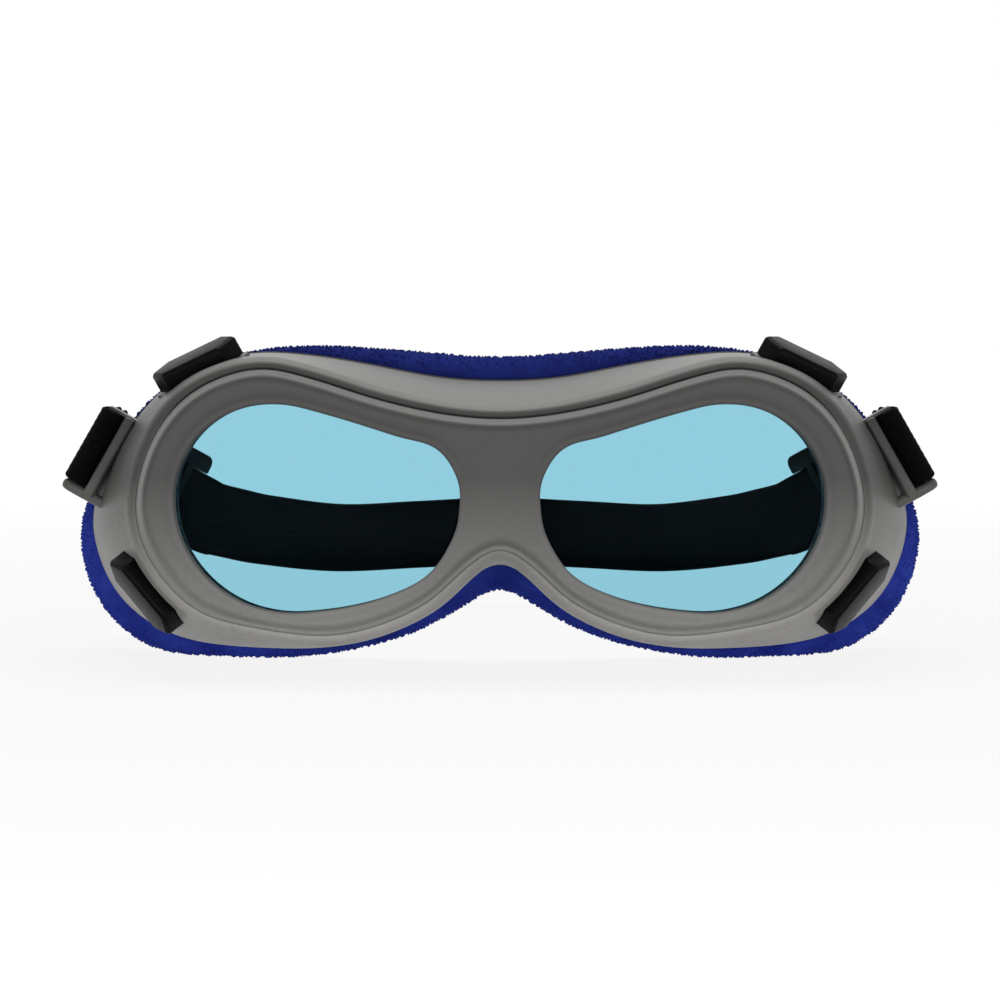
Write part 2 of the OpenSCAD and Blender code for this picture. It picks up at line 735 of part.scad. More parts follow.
// The slider: two outer bars, a middle bar behind the strap, and the rails that join them
rail_gap = 0.4;
rail_w = (slider_h - strap_w) / 2 - rail_gap;
layer_clear = 0.25;
slider_half = layer_gap + strap_t + layer_clear;
bar_w = 2.4;
bar_root = 1;
bar_span = slider_h - 2 * bar_root;
module slider_plane() {
    o = slider_at;
    t = slider_dir;
    w = leaning(slider_lean, slider_dir);
    inward = cross(t, w);
    multmatrix([
        [t.x, w.x, inward.x, o.x],
        [t.y, w.y, inward.y, o.y],
        [t.z, w.z, inward.z, o.z],
        [0, 0, 0, 1]
    ])
        children();
}
module strap_slider() {
    color("black")
        slider_plane() {
            for (y = [-slider_h / 2, slider_h / 2 - rail_w])
                translate([-slider_l / 2, y, -slider_half - slider_bar])
                    cube([slider_l, rail_w, 2 * slider_half + 2 * slider_bar]);
            for (x = [-slider_l / 2, slider_l / 2 - bar_w])
                translate([x, -bar_span / 2, -slider_half - slider_bar])
                    cube([bar_w, bar_span, slider_bar]);
            translate([-bar_w / 2, -bar_span / 2, slider_half])
                cube([bar_w, bar_span, slider_bar]);
        }
}

// The origin lies under the middle of the whole depth
middle_y = (strap_knots[back_knot].y + layer_gap + strap_t) / 2;
module placed() {
    translate([0, -middle_y, 0])
        children();
}

placed() front_bezel();
placed() body_shell();
placed() filter_glass();  // filter_left
placed() on_side("right") filter_glass();  // filter_right
placed() filter_gasket();  // filter_gasket_left
placed() on_side("right") filter_gasket();  // filter_gasket_right
placed() filter_retainer();  // filter_retainer_left
placed() on_side("right") filter_retainer();  // filter_retainer_right
placed() vent_cap(vent_upper);  // vent_cap_upper_left
placed() on_side("right") vent_cap(vent_upper);  // vent_cap_upper_right
placed() vent_cap(vent_lower);  // vent_cap_lower_left
placed() on_side("right") vent_cap(vent_lower);  // vent_cap_lower_right
placed() vent_baffle(vent_upper);  // vent_baffle_upper_left
placed() on_side("right") vent_baffle(vent_upper);  // vent_baffle_upper_right
placed() vent_baffle(vent_lower);  // vent_baffle_lower_left
placed() on_side("right") vent_baffle(vent_lower);  // vent_baffle_lower_right
placed() cushion_carrier();
placed() cushion_foam();
placed() cushion_cover();
placed() strap_band();
placed() strap_loop();  // strap_loop_left
placed() on_side("right") strap_loop();  // strap_loop_right
placed() strap_tail();  // strap_tail_left
placed() on_side("right") strap_tail();  // strap_tail_right
placed() strap_slider();  // strap_slider_left
placed() on_side("right") strap_slider();  // strap_slider_right
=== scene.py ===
# %% [markdown]
# # Laser safety goggles
# A moulded mask with two cyan filters, a terry face cushion and an elastic headband with two sliders.
# The construction is already settled in the frame: every piece has its place, its size and its body.
# This lesson dresses it. Hard pieces are meshes lofted through smooth contours, the cushion is blown up
# as cloth, and its pile is grown by geometry nodes.

# %% Load the frame
import json
import math

import bmesh
import bpy
import numpy as np
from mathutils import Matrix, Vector
from mathutils.geometry import delaunay_2d_cdt

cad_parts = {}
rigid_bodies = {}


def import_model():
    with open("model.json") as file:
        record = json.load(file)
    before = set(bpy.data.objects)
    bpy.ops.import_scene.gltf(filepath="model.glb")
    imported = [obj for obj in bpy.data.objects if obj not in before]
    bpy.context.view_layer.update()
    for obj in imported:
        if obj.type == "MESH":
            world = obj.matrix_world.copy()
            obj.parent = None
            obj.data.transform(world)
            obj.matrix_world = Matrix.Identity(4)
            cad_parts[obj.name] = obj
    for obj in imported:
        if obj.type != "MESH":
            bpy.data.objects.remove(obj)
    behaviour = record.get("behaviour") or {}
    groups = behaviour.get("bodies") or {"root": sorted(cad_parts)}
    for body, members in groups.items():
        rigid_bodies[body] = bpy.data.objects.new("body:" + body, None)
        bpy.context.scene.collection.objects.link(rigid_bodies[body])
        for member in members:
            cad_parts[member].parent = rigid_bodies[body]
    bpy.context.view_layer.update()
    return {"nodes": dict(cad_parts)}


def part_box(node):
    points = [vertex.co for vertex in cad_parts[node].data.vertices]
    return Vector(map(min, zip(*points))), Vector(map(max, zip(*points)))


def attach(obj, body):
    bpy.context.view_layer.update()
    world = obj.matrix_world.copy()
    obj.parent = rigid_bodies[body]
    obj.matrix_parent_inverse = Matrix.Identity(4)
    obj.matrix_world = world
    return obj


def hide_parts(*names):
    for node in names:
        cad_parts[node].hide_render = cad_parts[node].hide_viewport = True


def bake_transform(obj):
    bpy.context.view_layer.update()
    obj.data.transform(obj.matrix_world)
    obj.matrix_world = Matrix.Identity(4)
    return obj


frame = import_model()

# %% [markdown]
# ## Units and places
# The shapes are thought out in millimetres, with y = 0 at the crest of the bezel's bead and z = 0 at the
# face that the goggles rest on. Blender and the frame want metres, with the origin under the middle of
# the whole depth. One function takes a list of points over, so no piece has to be moved afterwards.

# %% Millimetres to the frame's metres
MM = 0.001
MIDDLE_Y = -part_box("front_bezel")[0].y / MM


def metres(points):
    """Points in millimetres, in the frame's metres."""
    moved = np.array(points, float).reshape(-1, 3)
    moved[:, 1] -= MIDDLE_Y
    return moved * MM


SIDES = ((-1, "left"), (1, "right"))
print(f"the bead's crest lies {MIDDLE_Y:.3f} mm in front of the origin")

# %% [markdown]
# ## Making a piece
# A list of points and faces becomes an object at the origin. Its faces are turned outwards, it is shaded
# smooth, and edges sharper than a given angle stay crisp, as the arris of a moulding does.

# %% From points and faces to an object
SHARP = 38


def put(name, data):
    """A new object in the scene."""
    obj = bpy.data.objects.new(name, data)
    bpy.context.scene.collection.objects.link(obj)
    return obj


def make_piece(name, points, faces, material, sharp=SHARP):
    """An object made of points in millimetres, with its faces outwards."""
    mesh = bpy.data.meshes.new(name)
    mesh.from_pydata([tuple(p) for p in metres(points)], [], faces)
    mesh.materials.append(material)
    obj = put(name, mesh)
    shape = bmesh.new()
    shape.from_mesh(mesh)
    bmesh.ops.recalc_face_normals(shape, faces=shape.faces)
    shape.to_mesh(mesh)
    shape.free()
    shade(obj, sharp)
    return obj


def shade(obj, sharp=SHARP):
    """Smooth shading, with edges over an angle kept sharp."""
    mesh = obj.data
    mesh.polygons.foreach_set("use_smooth", np.ones(len(mesh.polygons), bool))
    mesh.set_sharp_from_angle(angle=math.radians(sharp))
    mesh.update()


def apply_modifiers(obj):
    """The object's modifiers become part of its mesh."""
    graph = bpy.context.evaluated_depsgraph_get()
    graph.update()
    mesh = bpy.data.meshes.new_from_object(obj.evaluated_get(graph))
    old = obj.data
    obj.modifiers.clear()
    obj.data = mesh
    bpy.data.meshes.remove(old)
    mesh.name = obj.name


def combine(obj, other, operation):
    """Adds the other object to this one, or cuts it out, and removes the other."""
    cutter = obj.modifiers.new("combine", "BOOLEAN")
    cutter.operation = operation
    cutter.solver = "EXACT"
    cutter.object = other
    apply_modifiers(obj)
    bpy.data.objects.remove(other)


def round_edges(obj, width, segments=3, angle=30):
    """A small round on every edge over an angle."""
    bevel = obj.modifiers.new("round", "BEVEL")
    bevel.width = width * MM
    bevel.segments = segments
    bevel.limit_method = "ANGLE"
    bevel.angle_limit = math.radians(angle)
    bevel.harden_normals = False
    apply_modifiers(obj)
    shade(obj)


def settle(obj, body, slot, *nodes):
    """The piece rides on its body and stands for its nodes; slot is not used."""
    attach(obj, body)
    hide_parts(*nodes)
    print(f"{obj.name}: {len(obj.data.polygons)} faces, for {', '.join(nodes)}")


def add_field(obj, name, values):
    """A value of its own on every point of the piece, for the shader or the pile."""
    field = obj.data.attributes.new(name, "FLOAT", "POINT")
    field.data.foreach_set("value", np.asarray(values, np.float32))


def numbers(start, count):
    """The numbers of a loop's points."""
    return list(range(start, start + count))


def faces_between(a, b):
    """Quads between two closed loops of point numbers."""
    n = len(a)
    return [(a[i], a[(i + 1) % n], b[(i + 1) % n], b[i]) for i in range(n)]


def loft(name, loops, material, ring=False, sharp=SHARP):
    """A skin over loops of equal length. Each end gets a face, or in a ring the ends are joined."""
    n = len(loops[0])
    rows = [numbers(k * n, n) for k in range(len(loops))]
    faces = [] if ring else [tuple(rows[0])]
    for a, b in zip(rows, rows[1:]):
        faces += faces_between(a, b)
    faces += faces_between(rows[-1], rows[0]) if ring else [tuple(rows[-1])]
    return make_piece(name, np.concatenate(loops), faces, material, sharp)


print("helpers are ready")

# %% [markdown]
# ## The contours of the mask
# Seen from the front, the mask is three nested outlines: the bead round the bezel, the rear edge of the
# skirt and the outside of the cushion. Each is a smooth curve through a few points, given as shares of
# its reach. All are sampled alike, so the same number on two of them is the same place round the mask,
# and a skin can be lofted from one to the next.

# %% Driving sizes, in millimetres
window_w, window_h, window_gap, window_z = 54.8, 40.0, 15.6, 33.1
rim_side, rim_top, rim_bottom = 7.2, 6.5, 4.2
flare_side, flare_top, flare_bottom = 14.4, 2.7, 5.9
pad_side, pad_top, pad_bottom = 2.8, 1.7, 3.5
depth_nose, depth_side, depth_power = 24.0, 46.0, 1.8
wrap = math.radians(4)
wrap_blend = 5.0
bead_reach = np.array([window_gap / 2 + window_w + rim_side, window_h / 2 + rim_top,
                       window_h / 2 + rim_bottom])
skirt_reach = bead_reach + [flare_side, flare_top, flare_bottom]
pad_reach = skirt_reach + [pad_side, pad_top, pad_bottom]
print("half widths of bead, skirt and cushion:", bead_reach[0], skirt_reach[0], pad_reach[0])

# %% Smooth contours
BEAD_SHAPE = [
    [0, 0.635], [-0.165, 0.673], [-0.346, 0.78], [-0.519, 0.925], [-0.671, 0.996], [-0.838, 0.835],
    [-0.95, 0.5], [-1, 0.02], [-0.957, -0.43], [-0.838, -0.8], [-0.685, -0.93], [-0.491, -1],
    [-0.339, -0.917], [-0.195, -0.719], [-0.091, -0.438], [0, -0.298]]
SKIRT_SHAPE = [
    [0, 0.815], [-0.142, 0.836], [-0.308, 0.925], [-0.45, 0.986], [-0.592, 1], [-0.746, 0.884],
    [-0.882, 0.534], [-0.972, 0.075], [-0.995, -0.266], [-0.931, -0.691], [-0.782, -0.95],
    [-0.575, -0.987], [-0.391, -0.973], [-0.225, -0.837], [-0.102, -0.558], [0, -0.402]]
PAD_SHAPE = [
    [0, 0.923], [-0.137, 0.949], [-0.297, 0.984], [-0.434, 1], [-0.583, 0.961], [-0.743, 0.81],
    [-0.873, 0.511], [-0.967, 0.064], [-1.012, -0.271], [-0.962, -0.7], [-0.812, -0.98],
    [-0.583, -1], [-0.383, -0.945], [-0.217, -0.832], [-0.098, -0.675], [0, -0.532]]
WINDOW_SHAPE = [
    [1, 0], [1, 0.24], [0.912, 0.485], [0.79, 0.617], [0.596, 0.68], [0.344, 0.79], [0.007, 0.925],
    [-0.26, 1], [-0.57, 0.94], [-0.846, 0.675], [-0.996, 0.24], [-0.97, -0.24], [-0.8, -0.635],
    [-0.544, -0.895], [-0.257, -1], [0.007, -0.985], [0.26, -0.93], [0.518, -0.825],
    [0.798, -0.6175], [0.965, -0.25]]
STEPS = 12


def curve_through(points, steps=STEPS):
    """A closed smooth curve through points, with this many samples from one to the next."""
    knots = np.array(points, float)
    a, b, c, d = (np.roll(knots, k, 0)[:, None, :] for k in (1, 0, -1, -2))
    t = (np.arange(steps) / steps)[None, :, None]
    path = 2 * b + (c - a) * t + (2 * a - 5 * b + 4 * c - d) * t**2 + (3 * b - a - 3 * c + d) * t**3
    return path.reshape(-1, path.shape[-1]) / 2


def softened(loop, spread):
    """The loop with small swings in its curvature evened out, over a spread in samples."""
    n = len(loop)
    away = np.minimum(np.arange(n), n - np.arange(n))
    weight = np.exp(-0.5 * (away / spread) ** 2)
    weight /= weight.sum()
    return np.fft.ifft(np.fft.fft(loop, axis=0) * np.fft.fft(weight)[:, None], axis=0).real


def contour(shape, reach):
    """Both halves of an outline, anticlockwise from the top centre as seen from the front."""
    half = np.array([[x * reach[0], z * (reach[1] if z > 0 else reach[2])] for x, z in shape])
    other = half[-2:0:-1] * [-1, 1]
    return softened(curve_through(np.concatenate([half, other])), 3)


def unit(v):
    """A direction with a length of 1, or one in each row."""
    return v / np.linalg.norm(v, axis=-1, keepdims=True)


def outward(loop):
    """Unit normals of a loop, pointing out of it."""
    along = unit(np.roll(loop, -1, 0) - np.roll(loop, 1, 0))
    return np.stack([along[:, 1], -along[:, 0]], 1)


def grow(loop, distance):
    """The loop moved outwards by a distance."""
    return loop + np.reshape(distance, (-1, 1)) * outward(loop)


bead = contour(BEAD_SHAPE, bead_reach)
skirt = contour(SKIRT_SHAPE, skirt_reach)
pad = contour(PAD_SHAPE, pad_reach)
window_x = -(window_gap + window_w) / 2
window = softened(curve_through(WINDOW_SHAPE), 3) * [window_w / 2, window_h / 2] + [window_x, 0]
print("samples round the mask:", len(bead), "and round a window:", len(window))

# %% Depths behind the bead


def wrap_depth(x):
    """How far the front lies back at x, because both halves wrap round the face."""
    return math.tan(wrap) * (np.sqrt(x * x + wrap_blend**2) - wrap_blend)


def skirt_depth(x):
    """Depth of the skirt's rear edge at x: shallow over the nose and deep at the temples."""
    return depth_nose + (depth_side - depth_nose) * (np.abs(x) / skirt_reach[0]) ** depth_power


def laid(loop, depth):
    """A flat loop, laid at depths of its own."""
    return np.stack([loop[:, 0], depth, loop[:, 1] + window_z], 1)


def at_front(loop, y):
    """A flat loop, laid on the wrapped front at depth y."""
    return laid(loop, y + wrap_depth(loop[:, 0]))


def at_rear(loop, y):
    """A flat loop, laid at depth y behind the skirt's rear edge."""
    return laid(loop, y + skirt_depth(loop[:, 0]))


def at_share(loop, y, share):
    """A flat loop, laid at a share of the way from the front to the rear edge."""
    front, rear = y + wrap_depth(loop[:, 0]), skirt_depth(loop[:, 0])
    return laid(loop, front + share * (rear - front))


def on_seat(loop, y, side):
    """A flat loop in the plane that a filter is seated in. side is -1 on the left and 1 on the right."""
    x = loop[:, 0] * math.cos(wrap) + y * math.sin(wrap)
    back = y * math.cos(wrap) - loop[:, 0] * math.sin(wrap) - wrap_blend * math.tan(wrap)
    return np.stack([x * -side, back, loop[:, 1] + window_z], 1)


def seat_loops(side, rows):
    """Loops round a window, in its filter's plane: rows are growths of the window and depths."""
    return [on_seat(grow(window, out), y, side) for out, y in rows]


def mirror_loop(loop, side):
    """The left loop as it is, or mirrored to the right."""
    return loop if side < 0 else loop * [-1, 1]


print(f"the skirt is {skirt_depth(0.0):.0f} mm deep at the nose and {depth_side:.0f} mm at the side")

# %% [markdown]
# ## Node tools
# Materials and geometry are both trees of nodes. An input takes a value or the output of another node, and
# one function feeds it either, so a tree is written down in the order in which it is worked out.

# %% Node helpers


def new_tree(name, kind, inputs, outputs):
    """A node group with named sockets. Returns it, its two ends and its inputs' identifiers."""
    tree, keys = bpy.data.node_groups.new(name, kind), {}
    for label, sort, default in inputs:
        socket = tree.interface.new_socket(name=label, in_out="INPUT", socket_type="NodeSocket" + sort)
        keys[label] = socket.identifier
        if default is not None:
            socket.default_value = default
    for label, sort in outputs:
        tree.interface.new_socket(name=label, in_out="OUTPUT", socket_type="NodeSocket" + sort)
    return tree, tree.nodes.new("NodeGroupInput"), tree.nodes.new("NodeGroupOutput"), keys


def feed(tree, node, values):
    """Gives inputs of a node their values or links. A node as a value stands for its first output."""
    for key, value in values.items():
        if isinstance(value, bpy.types.Node):
            value = value.outputs[0]
        if isinstance(value, bpy.types.NodeSocket):
            tree.links.new(value, node.inputs[key])
        else:
            node.inputs[key].default_value = value
    return node


def add(tree, kind, values=None, **settings):
    """A new node, with its settings made and its inputs fed."""
    node = tree.nodes.new(kind)
    for key, value in settings.items():
        setattr(node, key, value)
    return feed(tree, node, values or {})


def calc(tree, operation, *values):
    """Arithmetic on values."""
    return add(tree, "ShaderNodeMath", dict(enumerate(values)), operation=operation)


def mix(tree, share, a, b):
    """A colour between two."""
    return add(tree, "ShaderNodeMix", {"Factor": share, "A": a, "B": b}, data_type="RGBA").outputs["Result"]


def remap(tree, value, low, high, to_low=0.0, to_high=1.0):
    """A value taken from one range to another."""
    values = {"Value": value, "From Min": low, "From Max": high, "To Min": to_low, "To Max": to_high}
    return add(tree, "ShaderNodeMapRange", values)


def own_place(tree):
    """The object's own coordinates."""
    return add(tree, "ShaderNodeTexCoord").outputs["Object"]


def own_height(tree):
    """The height above the rest face."""
    return add(tree, "ShaderNodeSeparateXYZ", {"Vector": own_place(tree)}).outputs["Z"]


def noise(tree, scale, detail=3.0, roughness=0.5):
    """A noise texture on the object's own coordinates."""
    values = {"Vector": own_place(tree), "Scale": scale, "Detail": detail, "Roughness": roughness}
    return add(tree, "ShaderNodeTexNoise", values).outputs["Fac"]


def bump(tree, heights, strength, distance):
    """A normal that is bent by heights."""
    return add(tree, "ShaderNodeBump", {"Height": heights, "Strength": strength, "Distance": distance})


print("node helpers are ready")

# %% [markdown]
# ## Materials of the moulded pieces
# A moulded plastic isn't one flat colour: its surface has a fine grain, its colour drifts a little, and
# handling leaves it lighter and duller in places. Two node groups hold these effects. They put out colours,
# values and normals only, and each material keeps its own shader. One function makes every moulded plastic
# from a colour, a rubbed colour and a grain. Some plastics also take painted light: a lighter colour low on
# the mask stands in for light from the floor below, and a lighter colour where the mesh says so is a painted
# highlight or painted light from above. Colours are written as they look in plain light.

# %% Groups that the moulded plastics share
GRAIN_PER_METRE, GRAIN_HEIGHT = 2600.0, 0.0002
grain, inside, result, _ = new_tree(
    "moulded grain", "ShaderNodeTree", [("Depth", "Float", 0.1)], [("Normal", "Vector")])
cells = noise(grain, GRAIN_PER_METRE, 2.0, 0.6)
feed(grain, result, {"Normal": bump(grain, cells, inside.outputs["Depth"], GRAIN_HEIGHT)})

BROAD_PER_METRE, FINE_PER_METRE, DULLING = 45.0, 900.0, 0.35
wear, inside, result, _ = new_tree(
    "handling wear", "ShaderNodeTree",
    [("Base", "Color", None), ("Rubbed", "Color", None), ("Amount", "Float", 0.3),
     ("Roughness", "Float", 0.5)],
    [("Colour", "Color"), ("Roughness", "Float")])
given = inside.outputs
broad = remap(wear, noise(wear, BROAD_PER_METRE, 4.0), 0.35, 0.75)
fine = remap(wear, noise(wear, FINE_PER_METRE, 5.0), 0.3, 0.8)
worn_share = calc(wear, "MULTIPLY", calc(wear, "MULTIPLY", broad, fine), given["Amount"])
feed(wear, result, {"Colour": mix(wear, worn_share, given["Base"], given["Rubbed"]),
                    "Roughness": calc(wear, "MULTIPLY_ADD", worn_share, DULLING, given["Roughness"])})
print("groups:", grain.name, "and", wear.name)

# %% Moulded plastics


def colour(code):
    """A colour written as six hexadecimal digits, in linear light."""
    parts = [int(code[k:k + 2], 16) / 255 for k in (0, 2, 4)]
    return tuple(p / 12.92 if p <= 0.04045 else ((p + 0.055) / 1.055) ** 2.4 for p in parts) + (1.0,)


def new_material(name):
    """A material with its tree and its shader."""
    material = bpy.data.materials.new(name)
    material.use_nodes = True
    return material, material.node_tree, material.node_tree.nodes["Principled BSDF"]


PAINTED_BOUNCE_LOW, PAINTED_BOUNCE_HIGH = 0.008, 0.039


def moulded(name, base, rubbed, roughness, depth, specular=0.5, amount=0.35, low=None):
    """A moulded plastic with grain, a drift of colour and handling wear. It may fade to a lighter low colour
    near the rest face, as painted light from the floor below.
    """
    material, tree, shader = new_material(name)
    tone = colour(base)
    if low:
        # painted light: lighter towards the bottom, in place of light from the floor below
        tone = mix(tree, remap(tree, own_height(tree), PAINTED_BOUNCE_LOW, PAINTED_BOUNCE_HIGH), colour(low), tone)
    skin = add(tree, "ShaderNodeGroup", {"Depth": depth}, node_tree=grain)
    worn = add(tree, "ShaderNodeGroup", node_tree=wear)
    feed(tree, worn, {"Base": tone, "Rubbed": colour(rubbed), "Amount": amount, "Roughness": roughness})
    feed(tree, shader, {"Normal": skin.outputs["Normal"], "Base Color": worn.outputs["Colour"],
                        "Roughness": worn.outputs["Roughness"], "Specular IOR Level": specular})
    return material


def painted_light_where(material, attribute, code):
    """Painted light: the material takes a lighter colour where the mesh's own attribute says so."""
    tree = material.node_tree
    shader = tree.nodes["Principled BSDF"]
    flat_tone = shader.inputs["Base Color"].links[0].from_socket
    share = add(tree, "ShaderNodeAttribute", attribute_name=attribute).outputs["Fac"]
    feed(tree, shader, {"Base Color": mix(tree, share, flat_tone, colour(code))})


# the low colours of bezel and shell are painted light from the floor below
bezel_grey = moulded("bezel_grey", "464544", "585755", 0.5, 0.12, specular=0.3, low="8f8e8b")
shell_grey = moulded("shell_grey", "42413f", "565553", 0.42, 0.1, specular=0.25, low="aeaca8")
vent_black = moulded("vent_black", "050506", "121213", 0.3, 0.16, specular=0.05, amount=0.4)
# painted highlight along the bead's crest
painted_light_where(bezel_grey, "crest", "807f7d")
# painted light from above on the shell's upward faces
painted_light_where(shell_grey, "painted_top_light", "8f8e8b")
rubber_black = moulded("rubber_black", "0a0a0b", "1c1c1d", 0.75, 0.2, specular=0.1)
ring_grey = moulded("ring_grey", "2c2c2c", "444444", 0.55, 0.14, specular=0.2)
keeper_grey = moulded("keeper_grey", "4a4a4a", "5c5c5c", 0.55, 0.14, specular=0.2)
slider_black = moulded("slider_black", "050505", "0e0e0f", 0.3, 0.05, specular=0.06, amount=0.3)
print("moulded plastics:", len(bpy.data.materials))

# %% [markdown]
# ## The filters' tint
# A laser filter absorbs part of the spectrum, so it is a clear sheet with an even cyan tint. It is one
# solid plate with a real thickness, and light takes its colour on the way through. Its polished edge
# gathers more of the colour, so the edge has a darker material of its own.

# %% Filter materials
filter_cyan, tree, shader = new_material("filter_cyan")
haze = noise(tree, 700.0, 4.0)
feed(tree, shader, {
    "Transmission Weight": 1.0, "IOR": 1.04, "Roughness": remap(tree, haze, 0.45, 0.9, 0.0, 0.008),
    "Base Color": mix(tree, haze, colour("8fcbdd"), colour("93cedf"))})
filter_edge = moulded("filter_edge", "1d5563", "2c7080", 0.3, 0.05)
print("filter tint and edge are ready")

# %% [markdown]
# ## The front bezel
# The bezel is one grey plate with two windows. A low round bead runs along its outside, and a narrow band
# stands up round each window. A plate with two holes has no simple grid, so its front is filled with
# triangles: loops of points follow the outside and each window, an even lattice fills the rest, and every
# point's depth comes from how far it is from the bead and from the window.

# %% Filling a plate with holes


def distance_to(loop, points):
    """Distance from each point to a closed loop."""
    a, b = loop[None], np.roll(loop, -1, 0)[None]
    p = points[:, None]
    share = np.clip(((p - a) * (b - a)).sum(2) / ((b - a) ** 2).sum(2), 0, 1)
    return np.linalg.norm(p - a - share[..., None] * (b - a), axis=2).min(1)


def within(loop, points):
    """Whether each point lies inside a closed loop."""
    a, b = loop[None], np.roll(loop, -1, 0)[None]
    x, z = points[:, None, 0], points[:, None, 1]
    spans = (a[..., 1] > z) != (b[..., 1] > z)
    rise = np.where(spans, b[..., 1] - a[..., 1], 1.0)
    crossing = a[..., 0] + (z - a[..., 1]) * (b[..., 0] - a[..., 0]) / rise
    return (spans & (x < crossing)).sum(1) % 2 == 1


def lattice(spacing, outer, holes, clear):
    """An even triangular lattice between an outline and its holes, clear of both."""
    rows = int(np.abs(outer[:, 1]).max() / spacing) + 2
    columns = int(np.abs(outer[:, 0]).max() / spacing) + 2
    grid = [((i + (j % 2) / 2) * spacing, j * spacing * math.sin(math.pi / 3))
            for j in range(-rows, rows + 1) for i in range(-columns, columns + 1)]
    grid = np.array(grid)
    keep = within(outer, grid) & (distance_to(outer, grid) > clear[0])
    for hole in holes:
        keep &= ~within(hole, grid) & (distance_to(hole, grid) > clear[1])
    return grid[keep]


def fill_plate(outer, holes, extra):
    """Triangles between the outline and its holes. The points come back with these borders first."""
    points = np.concatenate([outer] + holes + [extra])
    edges, start = [], 0
    for loop in [outer] + holes:
        n = len(loop)
        edges += [(start + i, start + (i + 1) % n) for i in range(n)]
        start += n
    filled = delaunay_2d_cdt([Vector(p) for p in points], edges, [], 0, 1e-6)
    origin = [own[0] for own in filled[3]]
    triangles = np.array([[origin[v] for v in face] for face in filled[2]])
    middle = points[triangles].mean(1)
    keep = within(outer, middle)
    for hole in holes:
        keep &= ~within(hole, middle)
    return points, [tuple(int(v) for v in t) for t in triangles[keep]]


print("plate filling is ready")

# %% The bezel's front
edge_out = 0.35
broad_x, broad_z, broad_run, broader = 48, 4, 16, 0.8
bead_profile = [(-6, 1.2), (-2.6, 1.2), (-1.9, 1.14), (-1.4, 0.95), (-1.05, 0.6), (-0.8, 0.25),
                (-0.55, 0.06), (-0.3, 0.0), (0.0, 0.08), (0.2, 0.4), (0.35, 0.9)]
band_profile = [(0.0, 0.0), (0.2, 0.2), (0.5, 0.3), (1.1, 0.3), (1.5, 0.22), (1.9, 0.05), (2.4, 0.0)]
front_outs = [0.2, 0.0, -0.3, -0.6, -0.9, -1.25, -1.6, -2.0, -2.4]
front_ins = [0.2, 0.5, 0.9, 1.3, 1.7]
front_spacing, front_clear = 1.0, (3.2, 2.2)
windows = [window, mirror_loop(window, 1)]


def bead_place(points):
    """Distance outside the bead's crest line, drawn in low at the sides, where the bead is broader."""
    away = distance_to(bead, points) * np.where(within(bead, points), -1, 1)
    side = np.clip((np.abs(points[:, 0]) - broad_x) / broad_run, 0, 1)
    side *= np.clip((broad_z - points[:, 1]) / broad_run, 0, 1)
    return np.where(away < 0, away / (1 + broader * side), away)


def front_y(points):
    """Depth of the bezel's front face at each point, before the wrap."""
    to_window = np.minimum(*(distance_to(hole, points) for hole in windows))
    return np.interp(bead_place(points), *zip(*bead_profile)) - np.interp(to_window, *zip(*band_profile))


outer = grow(bead, edge_out)
rings = [grow(bead, out) for out in front_outs]
rings += [mirror_loop(grow(window, out), side) for side in (-1, 1) for out in front_ins]
rings.append(lattice(front_spacing, outer, windows, front_clear))
flat, front_faces = fill_plate(outer, windows, np.concatenate(rings))
front = at_front(flat, front_y(flat))
print("front of the bezel:", len(front), "points,", len(front_faces), "triangles")

# %% The bezel as one closed solid
rear_y, rear_spacing, rear_clear = 3.0, 2.2, (1.2, 1.2)
lip_y, pocket_y, pocket_in, pocket_out = 2.1, 6.5, 1.35, 2.55
pocket_rows = [(0.0, lip_y), (pocket_in, lip_y), (pocket_in, pocket_y), (pocket_out, pocket_y)]
lit_profile = [(-1.1, 0), (-0.6, 1), (0.0, 1), (0.35, 0.4)]
lit_from, lit_run = 12, 20
n_bead, n_window = len(bead), len(window)
rear_holes = [mirror_loop(grow(window, pocket_out), side) for side in (-1, 1)]
back_flat, back_faces = fill_plate(outer, rear_holes, lattice(rear_spacing, outer, rear_holes, rear_clear))
back = at_front(back_flat, rear_y)
points, count = [front, back], len(front)
faces = front_faces + [tuple(count + v for v in face) for face in back_faces]
faces += faces_between(numbers(0, n_bead), numbers(count, n_bead))
count += len(back)
for side, start in ((-1, n_bead), (1, n_bead + n_window)):
    back[start:start + n_window] = on_seat(grow(window, pocket_out), rear_y, side)
    previous = numbers(start, n_window)
    for loop in seat_loops(side, pocket_rows):
        points.append(loop)
        row = numbers(count, n_window)
        faces += faces_between(previous, row)
        previous, count = row, count + n_window
    faces += faces_between(previous, numbers(len(front) + start, n_window))
points = np.concatenate(points)
bezel = make_piece("bezel_front", points, faces, bezel_grey, 50)
# painted highlight: the bead's crest is marked lighter, more so higher up the mask
lit = np.interp(bead_place(points[:, [0, 2]] - [0, window_z]), *zip(*lit_profile))
add_field(bezel, "crest", lit * np.clip((points[:, 2] - lit_from) / lit_run, 0, 1))
settle(bezel, "goggle", "bezel_plastic", "front_bezel")

# %% [markdown]
# ## Filters, gaskets and retainers
# Each filter is a flat plate that lies in a pocket behind its window. A thin black gasket seats it on the
# lip, and a ring holds it from behind. All of them are lofted from the window's own outline, grown a
# little, in the plane of the filter.

# %% Filters with a polished edge
filter_lap, lap_back = 1.2, 0.7
filter_y, retainer_y = 2.6, 5.2
arris = 0.2


def filter_plate(name, side):
    """The filter: two flat faces, a small arris and a polished edge."""
    rows = [(filter_lap - arris, filter_y), (filter_lap, filter_y + arris),
            (filter_lap, retainer_y - arris), (filter_lap - arris, retainer_y)]
    obj = loft(name, seat_loops(side, rows), filter_cyan, sharp=30)
    obj.data.materials.append(filter_edge)
    for face in obj.data.polygons:
        face.material_index = 0 if len(face.vertices) > 4 else 1
    return obj


